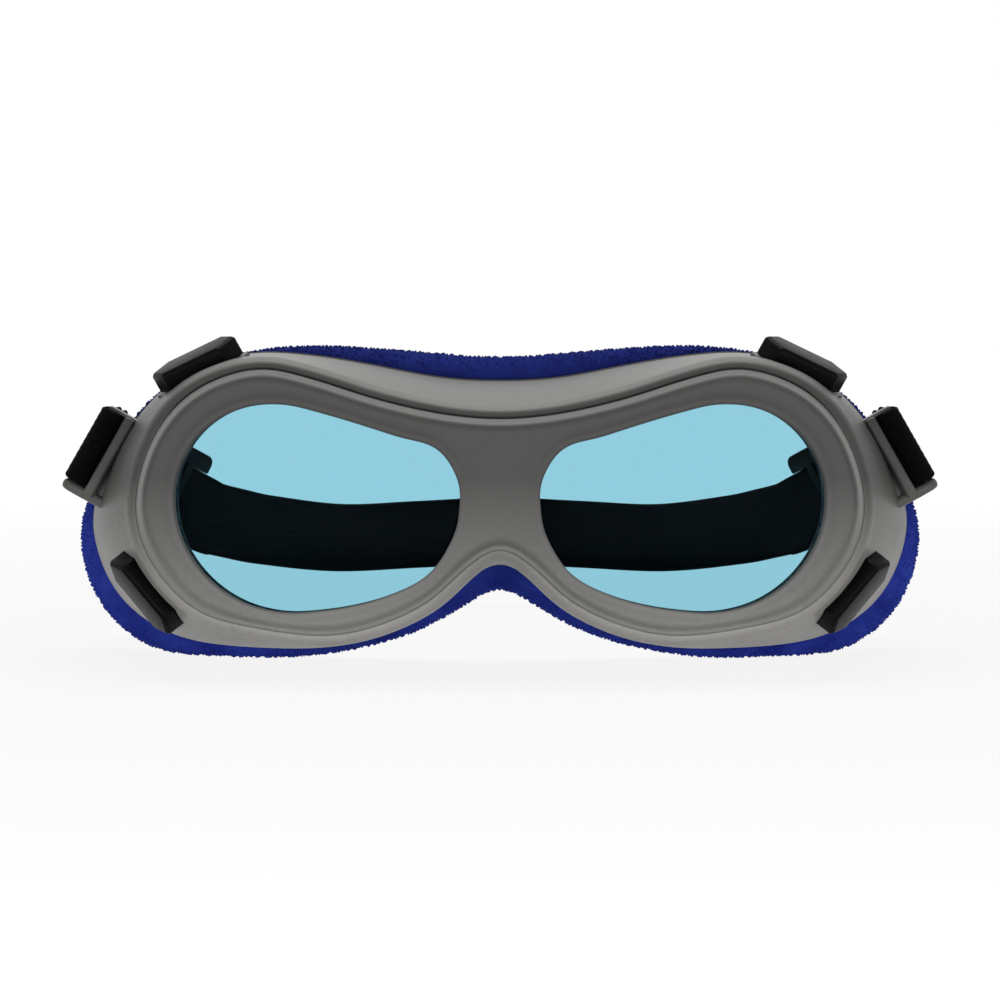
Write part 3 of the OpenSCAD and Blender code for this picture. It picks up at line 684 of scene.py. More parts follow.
gasket_in, keeper_in, chamfer = 0.3, 0.15, 0.3
step_y, keeper_y, lap_y, recess_y = 6.6, 7.8, 6.2, 5.8
gasket_rows = [(filter_lap, lip_y), (filter_lap, filter_y), (gasket_in, filter_y), (gasket_in, lip_y)]
retainer_rows = [
    (filter_lap, retainer_y), (filter_lap, step_y), (pocket_out, step_y), (pocket_out, keeper_y - chamfer),
    (pocket_out - chamfer, keeper_y), (lap_back + chamfer, keeper_y), (lap_back, keeper_y - chamfer),
    (lap_back, lap_y), (keeper_in, recess_y), (keeper_in, retainer_y)]
for side, label in SIDES:
    glass = filter_plate(f"filter_glass_{label}", side)
    settle(glass, "goggle", "filter_cyan", f"filter_{label}")
    seal = loft(f"gasket_ring_{label}", seat_loops(side, gasket_rows), rubber_black, ring=True)
    settle(seal, "goggle", "gasket_rubber", f"filter_gasket_{label}")
    keeper = loft(f"retainer_ring_{label}", seat_loops(side, retainer_rows), keeper_grey, ring=True)
    settle(keeper, "goggle", "retainer_plastic", f"filter_retainer_{label}")

# %% [markdown]
# ## The shell
# Behind the bezel the shell turns over a rounded shoulder and flares out to its rear edge. It is lofted as
# one ring: its section runs from the recess round the bezel over the shoulder, along the skirt, round the
# rear edge and back inside. A thin groove stays between bezel and shell, and is deepest over the brow.

# %% The shell's section
shoulder, shell_wall, shoulder_y = 2.8, 2.0, 4.2
flare_curl, flare_power = 0.75, 1.75
upper_spread, upper_gain, upper_from = 8, 2.5, 1.0
shoulder_loop = grow(bead, shoulder)


def flare_loop(share):
    """The skirt's outline at a share of its depth: it flares out fast at first and then evenly."""
    out = flare_curl * (1 - (1 - share) ** flare_power) + (1 - flare_curl) * share
    return shoulder_loop + out * (skirt - shoulder_loop)


groove_rows = [(0.5, 2.0), (0.58, 1.68), (0.85, 1.5), (1.25, 1.55), (1.7, 1.85), (2.15, 2.4), (2.52, 3.15)]
flush_rows = [(0.33, 0.93), (0.4, 0.8), (0.75, 0.82), (1.25, 1.1), (1.7, 1.55), (2.15, 2.22), (2.52, 3.1)]
shares = [0, 0.04, 0.09, 0.15, 0.22, 0.3, 0.38, 0.47, 0.56, 0.66, 0.76, 0.86, 0.94, 0.985]
rim_rows = [(0, -0.35), (-0.12, -0.12), (-0.4, 0), (-1.6, 0), (-1.88, -0.12), (-2, -0.35)]
inner_shares = [0.94, 0.84, 0.72, 0.6, 0.48, 0.36, 0.24, 0.12, 0.05]
ledge_rows = [(0.8, 5.7), (-0.3, 5.15), (-0.75, 4.9), (-0.75, 3.1), (0.5, 3.1)]
above = np.clip(softened(outward(bead), upper_spread)[:, 1] * upper_gain - upper_from, 0, 1)
loops = []
for (deep_out, deep_y), (out, y) in zip(groove_rows, flush_rows):
    turned = grow(bead, out + above * (deep_out - out))
    loops.append(at_front(turned, y + above * (deep_y - y)))
loops += [at_share(flare_loop(s), shoulder_y, s) for s in shares]
loops += [at_rear(grow(skirt, out), y) for out, y in rim_rows]
loops += [at_share(grow(flare_loop(s), -shell_wall), shoulder_y, s) for s in inner_shares]
loops += [at_front(grow(bead, out), y) for out, y in ledge_rows]
shell = loft("shell_body", loops, shell_grey, ring=True)
print("shell:", len(loops), "loops of", n_bead)

# %% [markdown]
# ## Vents and lugs on the shell
# Four caps cover the vents. Each sits in a shallow seat in the skirt, and its stem passes through a bore.
# A frame of three directions is taken from the skirt itself at each vent, so seats, caps and stems all
# stand square to the surface. The lugs are two arms with a round bar, joined to the shell at an ear.

# %% A frame on the skirt
cap_l, cap_w, cap_point = 18.5, 8.6, 3.0
probe, probe_share = 0.6, 0.1
VENTS = {"upper": (4.78, 0.36, 0.9, math.radians(9)), "lower": (8.54, 0.16, 1.6, 0.0)}


def skirt_point(place, share):
    """A point on the skirt, at a place along the contour and a share of the depth."""
    index = place * STEPS
    low = int(index)
    loop = flare_loop(share)
    flat = loop[low] + (index - low) * (loop[low + 1] - loop[low])
    return at_share(flat[None], shoulder_y, share)[0]


def vent_frame(place, share, seat, lean):
    """Origin and axes of a vent: along the contour, down the skirt and outwards, leaning to the front."""
    along = unit(skirt_point(place + probe, share) - skirt_point(place - probe, share))
    back = skirt_point(place, share + probe_share) - skirt_point(place, share - probe_share)
    out = unit(np.cross(back, along))
    origin = skirt_point(place, share) - seat * out
    out = math.cos(lean) * out + math.sin(lean) * np.cross(out, along)
    return origin, along, np.cross(out, along), out


def in_frame(origin_axes, points, side=-1):
    """Points given in a frame's own directions, mirrored for the right side."""
    origin, a, b, c = origin_axes
    p = np.array(points, float)
    world = origin + p[:, :1] * a + p[:, 1:2] * b + p[:, 2:] * c
    return world * [-side, 1, 1]


def cap_plan(inset):
    """The plan of a vent cap: a long hexagon, drawn in by an inset."""
    x, y, slant = cap_l / 2 - inset, cap_w / 2 - inset, cap_l / 2 - cap_point - inset / 2
    return [(x, 0), (slant, y), (-slant, y), (-x, 0), (-slant, -y), (slant, -y)]


def circle_plan(diameter, sides=32):
    """The plan of a round stem or bore."""
    turn = [2 * math.pi * k / sides for k in range(sides)]
    return [(diameter / 2 * math.cos(a), diameter / 2 * math.sin(a)) for a in turn]


def stacked(name, origin_axes, side, levels, material):
    """A solid made of plans at given heights, closed at both ends."""
    loops = [in_frame(origin_axes, [(x, y, z) for x, y in plan], side) for plan, z in levels]
    return loft(name, loops, material)


def prism(origin_axes, side, plan, low, high):
    """A straight solid that is joined to the shell or cut out of it."""
    return stacked("tool", origin_axes, side, [(plan, low), (plan, high)], shell_grey)


for label, spot in VENTS.items():
    print(label, "vent at", np.round(vent_frame(*spot)[0], 1))

# %% Seats and bores in the shell
seat_web, stem_d, stem_fit, seat_fit = 1.6, 4.4, 0.05, 0.15
boss_out, boss_low, cut_up = 0.9, 0.2, 6
boss_plan, seat_plan, bore_plan = cap_plan(-boss_out), cap_plan(-seat_fit), circle_plan(stem_d + 2 * stem_fit)
for side in (-1, 1):
    for spot in VENTS.values():
        axes = vent_frame(*spot)
        combine(shell, prism(axes, side, boss_plan, -seat_web, -boss_low), "UNION")
        combine(shell, prism(axes, side, seat_plan, 0, cut_up), "DIFFERENCE")
        combine(shell, prism(axes, side, bore_plan, -2 * seat_web, 1), "DIFFERENCE")
print("shell with four seats:", len(shell.data.polygons), "faces")

# %% Lugs with arms, ear and bar
bar_d, bar_lean, slot_w, ear_root = 2.2, math.radians(30), 2.6, 5.2
bar_at = np.array([-81.1, 30.0, window_z + 10.6])
bar_axes = (bar_at, np.array([math.cos(bar_lean), 0, -math.sin(bar_lean)]), np.array([0.0, 1, 0]),
            np.array([math.sin(bar_lean), 0, math.cos(bar_lean)]))
ear_at = bar_d / 2 + slot_w - 1.1


def arm_plan(radius, root):
    """An arm: round at the bar, wider towards its root in the shell."""
    turn = [math.pi / 2 + math.pi * k / 12 for k in range(13)]
    end = [(radius * math.cos(a), radius * math.sin(a)) for a in turn]
    return end + [(ear_at, -radius), (ear_at + ear_root, -0.4 * radius), (ear_at + ear_root, root),
                  (ear_at, root * 0.8)]

ear_plan = [(ear_at, -2.2), (ear_at, 2.2), (ear_at + ear_root, 3.0), (ear_at + ear_root, 0.3),
            (ear_at + 2.6, 0.0), (ear_at + 2.0, -2.2)]
LUG_SOLIDS = [(arm_plan(2.0, 3.2), -10.3, -8.15, 0.85), (arm_plan(1.15, 2.4), 8.1, 8.75, 0.2),
              (ear_plan, -9.3, 8.5, 0.4), (circle_plan(bar_d), -9.3, 8.5, 0)]
sky_above, sky_from, sky_run = 0.04, 0.6, 0.35


def lug(side):
    """One lug, to be joined to the shell: its low arm with the top arm, the ear and the bar."""
    solids = []
    for plan, low, high, rounding in LUG_SOLIDS:
        solids.append(prism(bar_axes, side, plan, low, high))
        if rounding:
            round_edges(solids[-1], rounding)
    for other in solids[1:]:
        combine(solids[0], other, "UNION")
    return solids[0]


for side in (-1, 1):
    combine(shell, lug(side), "UNION")
shade(shell, 32)
# painted light from above: the shell is marked lighter where it faces up, above 40 mm
upward = np.array([v.normal.z if v.co.z > sky_above else 0 for v in shell.data.vertices])
add_field(shell, "painted_top_light", np.clip((upward - sky_from) / sky_run, 0, 1))
settle(shell, "goggle", "shell_vinyl", "body_shell")

# %% Vent caps with their stems
CAP_LEVELS = [(cap_plan(0.0), 0.05), (cap_plan(0.0), 3.6), (cap_plan(0.6), 4.2)]
foot_d, foot_t, stem_end = 6.0, 1, -6.1
STEM_LEVELS = [(circle_plan(foot_d), stem_end), (circle_plan(foot_d), stem_end + foot_t),
               (circle_plan(stem_d), stem_end + foot_t), (circle_plan(stem_d), 1)]
for side, label in SIDES:
    for level, spot in VENTS.items():
        axes = vent_frame(*spot)
        cap = stacked(f"cap_{level}_{label}", axes, side, CAP_LEVELS, vent_black)
        round_edges(cap, 0.22)
        combine(cap, stacked("stem", axes, side, STEM_LEVELS, vent_black), "UNION")
        shade(cap, 32)
        settle(cap, "goggle", "vent_plastic", f"vent_cap_{level}_{label}")
        baffle = frame["nodes"][f"vent_baffle_{level}_{label}"]
        for material_slot in baffle.material_slots:
            material_slot.link = "OBJECT"
            material_slot.material = vent_black

# %% [markdown]
# ## The cushion's carrier
# A flat ring with a tongue holds the cushion to the shell's rear edge. It hardly shows, but from behind its
# inner edge does, so it is lofted along the skirt's own outline.

# %% Carrier ring
carrier_y, carrier_t, carrier_w, carrier_out = 0.2, 1.6, 4.6, 0.2
tongue_share, tongue_in, tongue_t = 0.92, 2.6, 1.2
tongue, tongue_deep = flare_loop(tongue_share), tongue_in + tongue_t
carrier_rows = [(0.0, 0.0), (carrier_out, 0.3), (carrier_out, carrier_t), (-carrier_w, carrier_t),
                (-carrier_w, 0.0), (-tongue_deep, 0.0)]
carrier_loops = [at_rear(grow(skirt, out), carrier_y + y) for out, y in carrier_rows]
carrier_loops += [at_share(grow(tongue, -t), shoulder_y, tongue_share) for t in (tongue_deep, tongue_in)]
carrier_loops.append(at_rear(grow(skirt, -tongue_in), carrier_y))
carrier = loft("carrier_ring", carrier_loops, ring_grey, ring=True)
settle(carrier, "goggle", "carrier_plastic", "cushion_carrier")

# %% [markdown]
# ## The face cushion
# The cushion is a foam ring in a blue terry cover. It starts as a tube with an oval section, a little too
# thin. Run as cloth under pressure, with the strip that is glued to its carrier held still, it swells as
# a stuffed cover does. Where it rests it stays flat.

# %% Terry material
terry_blue, tree, shader = new_material("terry_blue")
yarn = add(tree, "ShaderNodeAttribute", attribute_name="yarn_shade").outputs["Fac"]
patches = remap(tree, noise(tree, 160.0), 0.3, 0.7)
# painted shade: the cushion's colour darkens towards its top
brow_low, brow_high, brow_share = 0.02, 0.056, 0.75
shaded_brow = remap(tree, own_height(tree), brow_low, brow_high, 0.0, brow_share)
tone = mix(tree, yarn, colour("202d90"), colour("3346b4"))
tone = mix(tree, patches, tone, colour("3649b6"))
tone = mix(tree, shaded_brow, tone, colour("1b2468"))
feed(tree, shader, {
    "Base Color": tone, "Normal": bump(tree, noise(tree, 6000.0, 2.0), 0.5, 0.0002), "Roughness": 0.95,
    "Specular IOR Level": 0.1, "Sheen Weight": 0.25, "Sheen Roughness": 0.6, "Sheen Tint": colour("5a6ee0")})
print("terry is ready")

# %% The cushion's tube
pad_y, pad_d, crown_y, glue_y = 1.9, 10.6, 4.0, 0.1
pad_w, pad_nose_w, pad_taper = 11.5, 10.0, 35.0
inner_share, pile, rest_z = 0.76, 0.25, 0.35
PAD_ROWS, PAD_EVERY = 18, 3
pad_loop = pad[::PAD_EVERY]
pad_out = outward(pad)[::PAD_EVERY]


def oval_row(angle, shrink):
    """One row along the cushion, at an angle round its oval section."""
    half = pad_nose_w + (pad_w - pad_nose_w) * np.minimum(np.abs(pad_loop[:, 0]) / pad_taper, 1)
    half = half[:, None] / 2
    inner = half - shrink if math.cos(angle) > 0 else half * (2 * inner_share - 1) - shrink
    flat = pad_loop + (inner * math.cos(angle) - half) * pad_out
    reach = (crown_y if math.sin(angle) < 0 else pad_d - crown_y) - shrink
    row = at_rear(flat, max(pad_y + crown_y + math.sin(angle) * reach, pad_y + glue_y))
    row[:, 2] = np.maximum(row[:, 2], rest_z)
    return row


angles = [math.radians(-90 + 360 * k / PAD_ROWS) for k in range(PAD_ROWS)]
pad_rows = [oval_row(a, pile) for a in angles]
cushion = loft("terry_cushion", pad_rows, terry_blue, ring=True, sharp=180)
print("cushion tube:", len(cushion.data.vertices), "points")

# %% Swelling it as cloth
PRESSURE, SWELL_FRAMES, SWELL_CAP = 4.0, 20, 0.9


def swell(obj, held):
    """Runs the mesh as cloth under pressure, and keeps the swollen shape."""
    start = np.array([v.co for v in obj.data.vertices])
    group = obj.vertex_groups.new(name="held")
    group.add([int(i) for i in np.flatnonzero(held)], 1.0, "REPLACE")
    cloth = obj.modifiers.new("swell", "CLOTH")
    cloth.settings.vertex_group_mass = "held"
    cloth.settings.use_pressure = True
    cloth.settings.uniform_pressure_force = PRESSURE
    cloth.settings.effector_weights.gravity = 0
    cloth.point_cache.frame_end = SWELL_FRAMES
    scene = bpy.context.scene
    for frame_number in range(1, SWELL_FRAMES + 1):
        scene.frame_set(frame_number)
    graph = bpy.context.evaluated_depsgraph_get()
    end = np.array([v.co for v in obj.evaluated_get(graph).data.vertices])
    obj.modifiers.clear()
    obj.vertex_groups.clear()
    scene.frame_set(1)
    move = end - start
    length = np.linalg.norm(move, axis=1)[:, None]
    move *= np.minimum(1, SWELL_CAP * MM / np.maximum(length, 1e-9))
    place = start + move
    place[:, 2] = np.maximum(place[:, 2], rest_z * MM)
    obj.data.vertices.foreach_set("co", place.ravel())
    obj.data.update()
    return float(length.max() / MM)


row_of = np.repeat(np.arange(PAD_ROWS), len(pad_loop))
glued = (row_of <= 1) | (row_of >= PAD_ROWS - 1)
print(f"the cushion swells by up to {swell(cushion, glued):.2f} mm before the cap")
subdivide = cushion.modifiers.new("smooth", "SUBSURF")
subdivide.levels = 1
subdivide.render_levels = 1
add_field(cushion, "pile_cover", np.where(glued, 0.0, 1.0))
apply_modifiers(cushion)
print("cushion body:", len(cushion.data.polygons), "faces")

# %% [markdown]
# ## Terry pile
# Terry cloth is covered in small loops of yarn. Geometry nodes scatter points over the cushion, no closer
# than a set distance, and stand one loop on each, turned and sized at random from a fixed seed. The loops
# that reach the table are pressed flat against it.

# %% The pile
terry, start, end, terry_keys = new_tree("terry pile", "GeometryNodeTree", [
    ("Geometry", "Geometry", None), ("Spacing", "Float", 0.001), ("Loop radius", "Float", 0.0005),
    ("Yarn radius", "Float", 0.0002), ("Floor", "Float", 0.00005), ("Seed", "Int", 7)],
    [("Geometry", "Geometry")])
given = start.outputs
loops_per_m2, tilt, smallest, largest, sunk_by = 2.0e6, 0.45, 0.8, 1.25, 0.5


def geo(kind, values=None, **settings):
    """A geometry node of the pile."""
    return add(terry, "GeometryNode" + kind, values, **settings)


cover = geo("InputNamedAttribute", {"Name": "pile_cover"}, data_type="FLOAT")
scatter = geo("DistributePointsOnFaces", {
    "Mesh": given["Geometry"], "Distance Min": given["Spacing"], "Density Max": loops_per_m2,
    "Density Factor": cover.outputs["Attribute"], "Seed": given["Seed"]}, distribute_method="POISSON")
bend = geo("CurvePrimitiveCircle", {"Resolution": 6, "Radius": given["Loop radius"]}, mode="RADIUS")
thread = geo("CurvePrimitiveCircle", {"Resolution": 3, "Radius": given["Yarn radius"]}, mode="RADIUS")
tube = geo("CurveToMesh", {"Curve": bend, "Profile Curve": thread})
sunk = add(terry, "ShaderNodeCombineXYZ", {"Z": calc(terry, "MULTIPLY", given["Loop radius"], -sunk_by)})
upright = geo("Transform", {"Geometry": tube, "Translation": sunk, "Rotation": (math.pi / 2, 0, 0)})
spin = add(terry, "FunctionNodeRandomValue", data_type="FLOAT_VECTOR")
feed(terry, spin, {"Min": (-tilt, -tilt, 0), "Max": (tilt, tilt, 2 * math.pi), "Seed": given["Seed"]})
turn = add(terry, "FunctionNodeRotateRotation", rotation_space="LOCAL")
feed(terry, turn, {"Rotation": scatter.outputs["Rotation"], "Rotate By": spin})
size = add(terry, "FunctionNodeRandomValue", {2: smallest, 3: largest}, data_type="FLOAT").outputs[1]
plant = geo("InstanceOnPoints", {"Points": scatter, "Instance": upright, "Rotation": turn, "Scale": size})
own_shade = add(terry, "FunctionNodeRandomValue", {2: 0.0, 3: 1.0}, data_type="FLOAT").outputs[1]
tag = geo("StoreNamedAttribute", {"Geometry": plant, "Name": "yarn_shade", "Value": own_shade},
          data_type="FLOAT", domain="INSTANCE")
together = feed(terry, geo("JoinGeometry", {"Geometry": tag}), {"Geometry": given["Geometry"]})
parts = add(terry, "ShaderNodeSeparateXYZ", {"Vector": geo("InputPosition")}).outputs
lowest = calc(terry, "MAXIMUM", parts["Z"], given["Floor"])
pressed = add(terry, "ShaderNodeCombineXYZ", {"X": parts["X"], "Y": parts["Y"], "Z": lowest})
cloth = geo("SetPosition", {"Geometry": geo("RealizeInstances", {"Geometry": together}), "Position": pressed})
cloth = geo("SetShadeSmooth", {"Geometry": cloth})
feed(terry, end, {"Geometry": geo("SetMaterial", {"Geometry": cloth, "Material": terry_blue})})

grower = cushion.modifiers.new(terry.name, "NODES")
grower.node_group = terry
for label, value in {"Spacing": 0.00062, "Loop radius": 0.00024, "Yarn radius": 0.00024}.items():
    grower[terry_keys[label]] = value
apply_modifiers(cushion)
settle(cushion, "goggle", "terry_blue", "cushion_cover", "cushion_foam")

# %% [markdown]
# ## The elastic strap
# The strap is one length of woven elastic: from its tail behind a slider it runs forward inside, round the
# lug bar, back outside through the slider, round the back of the head and the same way to the other tail.
# It is swept directly, because cloth would only blur it. Its section has the cords of the elastic as ribs.

# %% Elastic material
elastic_black, tree, shader = new_material("elastic_black")
flat_map = add(tree, "ShaderNodeUVMap", uv_map="along_strap")
rows = add(tree, "ShaderNodeTexWave", wave_type="BANDS", bands_direction="X")
feed(tree, rows, {"Vector": flat_map, "Scale": 1.0, "Distortion": 0.6, "Detail": 1.0, "Detail Scale": 2.0})
lint = remap(tree, noise(tree, 1500.0, 5.0), 0.55, 0.8)
feed(tree, shader, {
    "Base Color": mix(tree, lint, colour("060708"), colour("161719")), "Roughness": 0.85,
    "Specular IOR Level": 0.05, "Normal": bump(tree, rows.outputs["Fac"], 0.6, 0.00025)})
print("elastic is ready")

# %% The strap's route
strap_w, strap_t, layer_gap = 16.0, 1.3, 0.05
slider_at = np.array([-72.3, 75.5, window_z - 2.2])
slider_dir = unit(np.array([0.53, 0.76, -0.375]))
slider_lean, slider_l, slider_h = math.radians(21), 12.0, 23.5
straight, run_out, tail_l = 11.0, 5.0, 13.0
slider_front, slider_back = slider_at - straight * slider_dir, slider_at + straight * slider_dir
swing_back = 14.0
swing_at = bar_at + [0, swing_back, 0]
KNOTS = np.array([
    swing_at - [0, 16, 0], swing_at - [0, 8, 0], swing_at, swing_at + [-1.7, 8, -1.4],
    swing_at + [-0.8, 15.5, -4.2], slider_front - run_out * slider_dir, slider_front, slider_at,
    slider_back, slider_back + run_out * slider_dir, [-58.7, 94.8, window_z - 10.2],
    [-52, 104, window_z - 12.4], [-37, 125, window_z - 15.8], [-19, 136.6, window_z - 15.9],
    [0, 140, window_z - 15.3], [19, 136.6, window_z - 15.9]])
ROUTE_STEPS = 10


def strap_lean(p):
    """The strap leans as its lug bar, then as its slider, and stands upright at the back."""
    if p[1] < slider_front[1]:
        share = min((slider_front[1] - p[1]) / (slider_front[1] - swing_at[1]), 1)
        return slider_lean + share * (bar_lean - slider_lean)
    return slider_lean if p[0] < slider_back[0] else slider_lean * p[0] / slider_back[0]


def leaning(angle, t):
    """The strap's width direction at an angle from upright, square to its run."""
    up = np.array([math.sin(angle), 0, math.cos(angle)])
    return unit(up - (up @ t) * t)


route = curve_through(KNOTS, ROUTE_STEPS)[2 * ROUTE_STEPS:-2 * ROUTE_STEPS]
tangents = unit(np.gradient(route, axis=0))
widths = np.array([leaning(strap_lean(p), t) for p, t in zip(route, tangents)])
outs = np.cross(widths, tangents)
print("strap route:", len(route), "samples on the left")

# %% The strap as one ribbon
loop_play = 0.1
middle = layer_gap + strap_t / 2
reach = slider_l / 2 + tail_l
inner = [(p - middle * o, w) for p, o, w in zip(route, outs, widths) if (p - slider_at) @ slider_dir < reach]
outer_layer = [(p + middle * o, w) for p, o, w in zip(route, outs, widths)]
_, bar_x, bar_y, bar_z = bar_axes
loop_r = bar_d / 2 + loop_play + strap_t / 2
throat = [(middle, 12.0), (middle + 0.05, 10.0), (middle + 0.25, 8.0), (middle + 0.6, 6.0),
          (loop_r - 0.25, 4.0), (loop_r - 0.05, 2.0)]
turn = [(loop_r * math.cos(a), -loop_r * math.sin(a)) for a in np.linspace(0, math.pi, 13)]
fold = throat + turn + [(-x, y) for x, y in reversed(throat)]
left_run = inner[::-1] + [(bar_at + x * bar_x + y * bar_y, bar_z) for x, y in fold] + outer_layer
back_run = [(KNOTS[-2] + [0, middle, 0], np.array([0, 0, 1.0]))]
flip = np.array([-1, 1, 1])
right_run = [(p * flip, w * flip) for p, w in reversed(left_run)]
spine, across = (np.array(part) for part in zip(*left_run + back_run + right_run))
runs = unit(np.gradient(spine, axis=0))
across = unit(across - (across * runs).sum(1)[:, None] * runs)
normal = np.cross(across, runs)
length = np.concatenate([[0], np.cumsum(np.linalg.norm(np.diff(spine, axis=0), axis=1))])
print(f"the strap is {length[-1]:.0f} mm long at rest, in one piece")

# %% Sweeping the ribbed section
RIBS, RIB_STEPS, RIB_DEPTH, EDGE_ROUND, EDGE_LEAST = 11, 4, 0.06, 0.25, 0.12
PICK = 0.9


def elastic_section():
    """The section: position across and thickness on one face, ribs with rounded selvedges."""
    n = RIBS * RIB_STEPS
    face = []
    for k in range(n + 1):
        u = -1 + 2 * k / n
        rib = RIB_DEPTH * (0.5 + 0.5 * math.cos(2 * math.pi * RIBS * (u + 1) / 2 + math.pi))
        edge = max(0.0, 1 - ((1 - abs(u)) * strap_w / 2 / EDGE_ROUND)) ** 2
        face.append((u * strap_w / 2, (strap_t / 2 - RIB_DEPTH + rib) * math.sqrt(max(EDGE_LEAST, 1 - edge))))
    return face + [(x, -t) for x, t in reversed(face)]


section = elastic_section()
sections = [np.array([p + x * w + t * n for x, t in section]) for p, w, n in zip(spine, across, normal)]
strap = loft("elastic_strap", sections, elastic_black, sharp=60)
chart = strap.data.uv_layers.new(name="along_strap")
for corner in strap.data.loops:
    i, k = divmod(corner.vertex_index, len(section))
    chart.data[corner.index].uv = (length[i] / PICK, section[k][0] / PICK)
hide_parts("strap_band", "strap_tail_left", "strap_tail_right", "strap_loop_left", "strap_loop_right")
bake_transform(strap)
print("strap:", len(strap.data.polygons), "faces")

# %% [markdown]
# ## The strap sliders
# Each slider is a small black ladder: two rails, two bars outside the strap and one behind it. It is laid
# out as a block of cells, of which some are filled, so the skin is closed whatever the layout. The outer
# corners are then rounded off, and last every edge.

# %% Ladder frames
rail_w, slider_half, slider_bar, bar_w = 3.71, 1.6, 1.3, 2.4
corner_round, slider_round, nearly = 1.9, 0.38, 0.98
SQUARES = [((0, 0, 0), (0, 1, 0), (0, 1, 1), (0, 0, 1)), ((0, 0, 0), (0, 0, 1), (1, 0, 1), (1, 0, 0)),
           ((0, 0, 0), (1, 0, 0), (1, 1, 0), (0, 1, 0))]


def cell_skin(xs, ys, zs, filled):
    """Points and faces of the skin round the filled cells of a grid."""
    numbers, faces = {}, []
    for cell in np.ndindex(len(xs) - 1, len(ys) - 1, len(zs) - 1):
        for axis, step in np.ndindex(3, 2):
            way = np.eye(3, dtype=int)[axis]
            if not filled(*cell) or filled(*(cell + way * (2 * step - 1))):
                continue
            corners = [tuple(cell + way * step + own) for own in SQUARES[axis]]
            faces.append(tuple(numbers.setdefault(c, len(numbers)) for c in corners))
    return [(xs[i], ys[j], zs[k]) for i, j, k in numbers], faces


def slider_filled(i, j, k):
    """Which cells of the slider are solid: rails, outer bars and the middle bar."""
    if not (0 <= i < 5 and 0 <= j < 3 and 0 <= k < 3):
        return False
    return j != 1 or (k == 0 and i in (0, 4)) or (k == 2 and i == 2)


def slider(name, side):
    """One slider, in its place on the strap."""
    half_l, half_h, outside = slider_l / 2, slider_h / 2, slider_half + slider_bar
    xs = [-half_l, -half_l + bar_w, -bar_w / 2, bar_w / 2, half_l - bar_w, half_l]
    ys = [-half_h, -half_h + rail_w, half_h - rail_w, half_h]
    points, faces = cell_skin(xs, ys, [-outside, -slider_half, slider_half, outside], slider_filled)
    w = leaning(slider_lean, slider_dir)
    axes = (slider_at, slider_dir, w, np.cross(slider_dir, w))
    obj = make_piece(name, in_frame(axes, points, side), faces, slider_black)
    shape = bmesh.new()
    shape.from_mesh(obj.data)
    bmesh.ops.dissolve_limit(shape, angle_limit=math.radians(1), verts=shape.verts, edges=shape.edges)
    through = Vector(axes[3] * [-side, 1, 1])
    ends = [e for e in shape.edges if e.is_manifold and e.calc_face_angle(0) > 1
            and abs((e.verts[0].co - e.verts[1].co).normalized() @ through) > nearly
            and e.calc_length() > 2 * outside * MM * nearly]
    bmesh.ops.bevel(shape, geom=ends, offset=corner_round * MM, segments=6, profile=0.5, affect="EDGES")
    shape.to_mesh(obj.data)
    shape.free()
    round_edges(obj, slider_round)
    return obj


for side, label in SIDES:
    piece = slider(f"slider_frame_{label}", side)
    settle(piece, f"slider_{label}", "slider_plastic", f"strap_slider_{label}")

# %% [markdown]
# ## Floor, light and camera
# The goggles lie on a plain pale floor. The floor and the world look white to the camera and in
# reflections, and the floor keeps a soft shadow. Large soft lamps light the mask from above and in front.

# %% Floor


def seen_plainly(tree):
    """1 on rays from the camera, in reflections and through the filters, and 0 on all others."""
    rays = add(tree, "ShaderNodeLightPath").outputs
    seen = calc(tree, "MAXIMUM", rays["Is Camera Ray"], rays["Is Glossy Ray"])
    return calc(tree, "MAXIMUM", seen, rays["Is Transmission Ray"])


def blend_into(tree, output, share, first, second):
    """The tree's output becomes a blend of two shaders."""
    blend = add(tree, "ShaderNodeMixShader", {0: share, 1: first, 2: second})
    feed(tree, tree.nodes[output], {"Surface": blend})


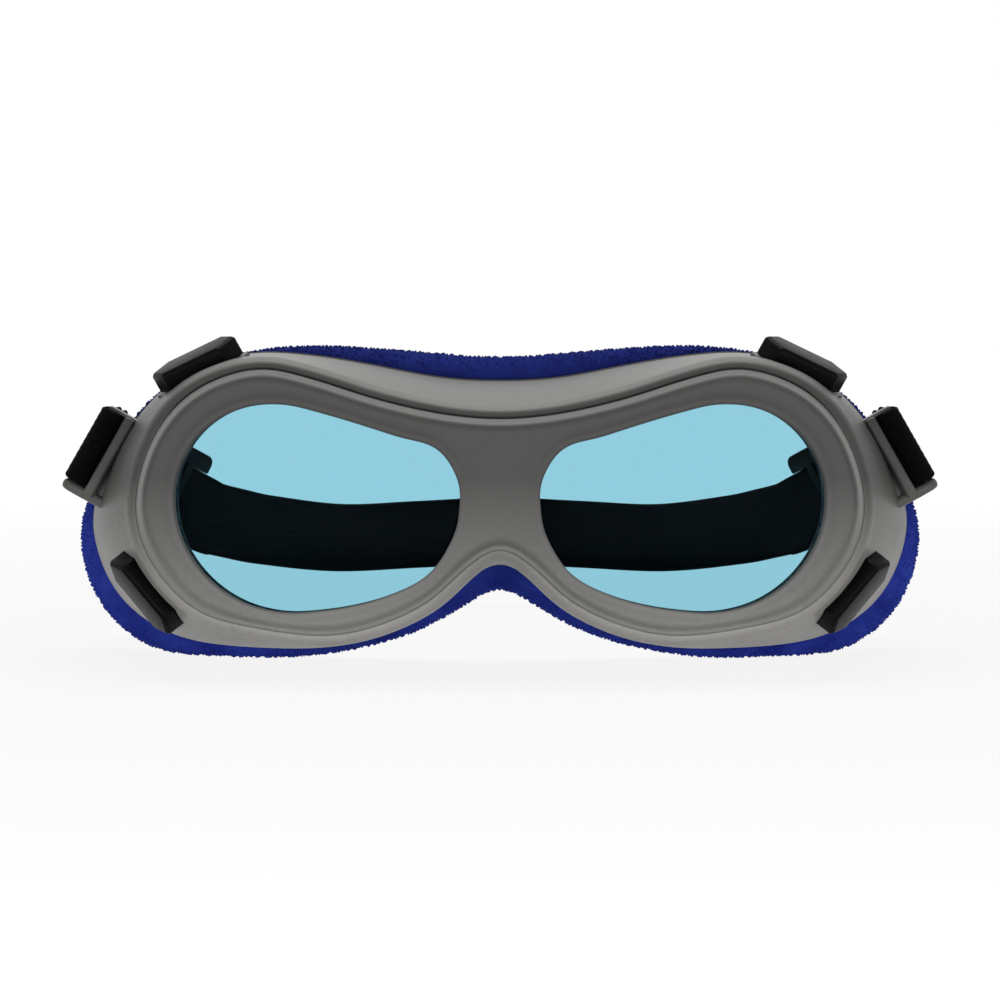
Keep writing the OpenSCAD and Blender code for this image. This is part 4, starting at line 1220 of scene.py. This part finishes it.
floor_white, tree, shader = new_material("floor_white")
feed(tree, shader, {"Base Color": colour("f2f2f2"), "Roughness": 0.9, "Specular IOR Level": 0.0})
away = add(tree, "ShaderNodeVectorMath", {0: own_place(tree)}, operation="LENGTH").outputs["Value"]
shadow_near, shadow_far, shadow_white = 0.1, 0.45, 0.88
whiter = remap(tree, away, shadow_near, shadow_far, shadow_white, 1.0)
whiter = calc(tree, "MULTIPLY", seen_plainly(tree), whiter)
blend_into(tree, "Material Output", whiter, shader, add(tree, "ShaderNodeEmission", {"Strength": 1.0}))
floor_half = 4.0
floor_mesh = bpy.data.meshes.new("floor")
corners = [(-1, -1), (1, -1), (1, 1), (-1, 1)]
floor_mesh.from_pydata([(x * floor_half, y * floor_half, 0) for x, y in corners], [], [(0, 1, 2, 3)])
floor_mesh.materials.append(floor_white)
floor = put("floor", floor_mesh)
print("floor:", 2 * floor_half, "m square")

# %% World and lamps
world = bpy.data.worlds.new("studio")
bpy.context.scene.world = world
world.use_nodes = True
tree = world.node_tree
around = feed(tree, tree.nodes["Background"], {"Color": (1, 1, 1, 1), "Strength": 0.1})
white = add(tree, "ShaderNodeBackground", {"Color": (1, 1, 1, 1), "Strength": 1.0})
blend_into(tree, "World Output", seen_plainly(tree), around, white)


def lamp(name, place, aim, size, watts):
    """A soft lamp of a width and a height that looks at a point."""
    data = bpy.data.lights.new(name, "AREA")
    data.shape = "RECTANGLE"
    data.size, data.size_y = size
    data.energy = watts
    obj = put(name, data)
    obj.location = place
    obj.rotation_euler = (Vector(aim) - Vector(place)).to_track_quat("-Z", "Y").to_euler()
    obj.visible_camera = False


mask_middle = (0, -0.05, 0.035)
lamp("key_above", (0.0, 0.12, 1.0), mask_middle, (0.8, 0.4), 5.5)
lamp("strip_front", (0.0, -0.33, 0.03), (0.0, -0.06, 0.02), (0.9, 0.06), 0.8)

# %% Camera
camera_far = 0.55
camera_up = math.radians(4)
camera_aim = Vector((0, -MIDDLE_Y * MM, 0.035))
camera_data = bpy.data.cameras.new("camera")
camera_data.sensor_width = 36
camera_data.lens = 104.2
camera = put("camera", camera_data)
camera.location = camera_aim + camera_far * Vector((0, -math.cos(camera_up), math.sin(camera_up)))
camera.rotation_euler = (math.pi / 2 - camera_up, 0, 0)
bpy.context.scene.camera = camera
bpy.context.scene.view_settings.view_transform = "Standard"
print("camera at", tuple(round(v, 3) for v in camera.location))
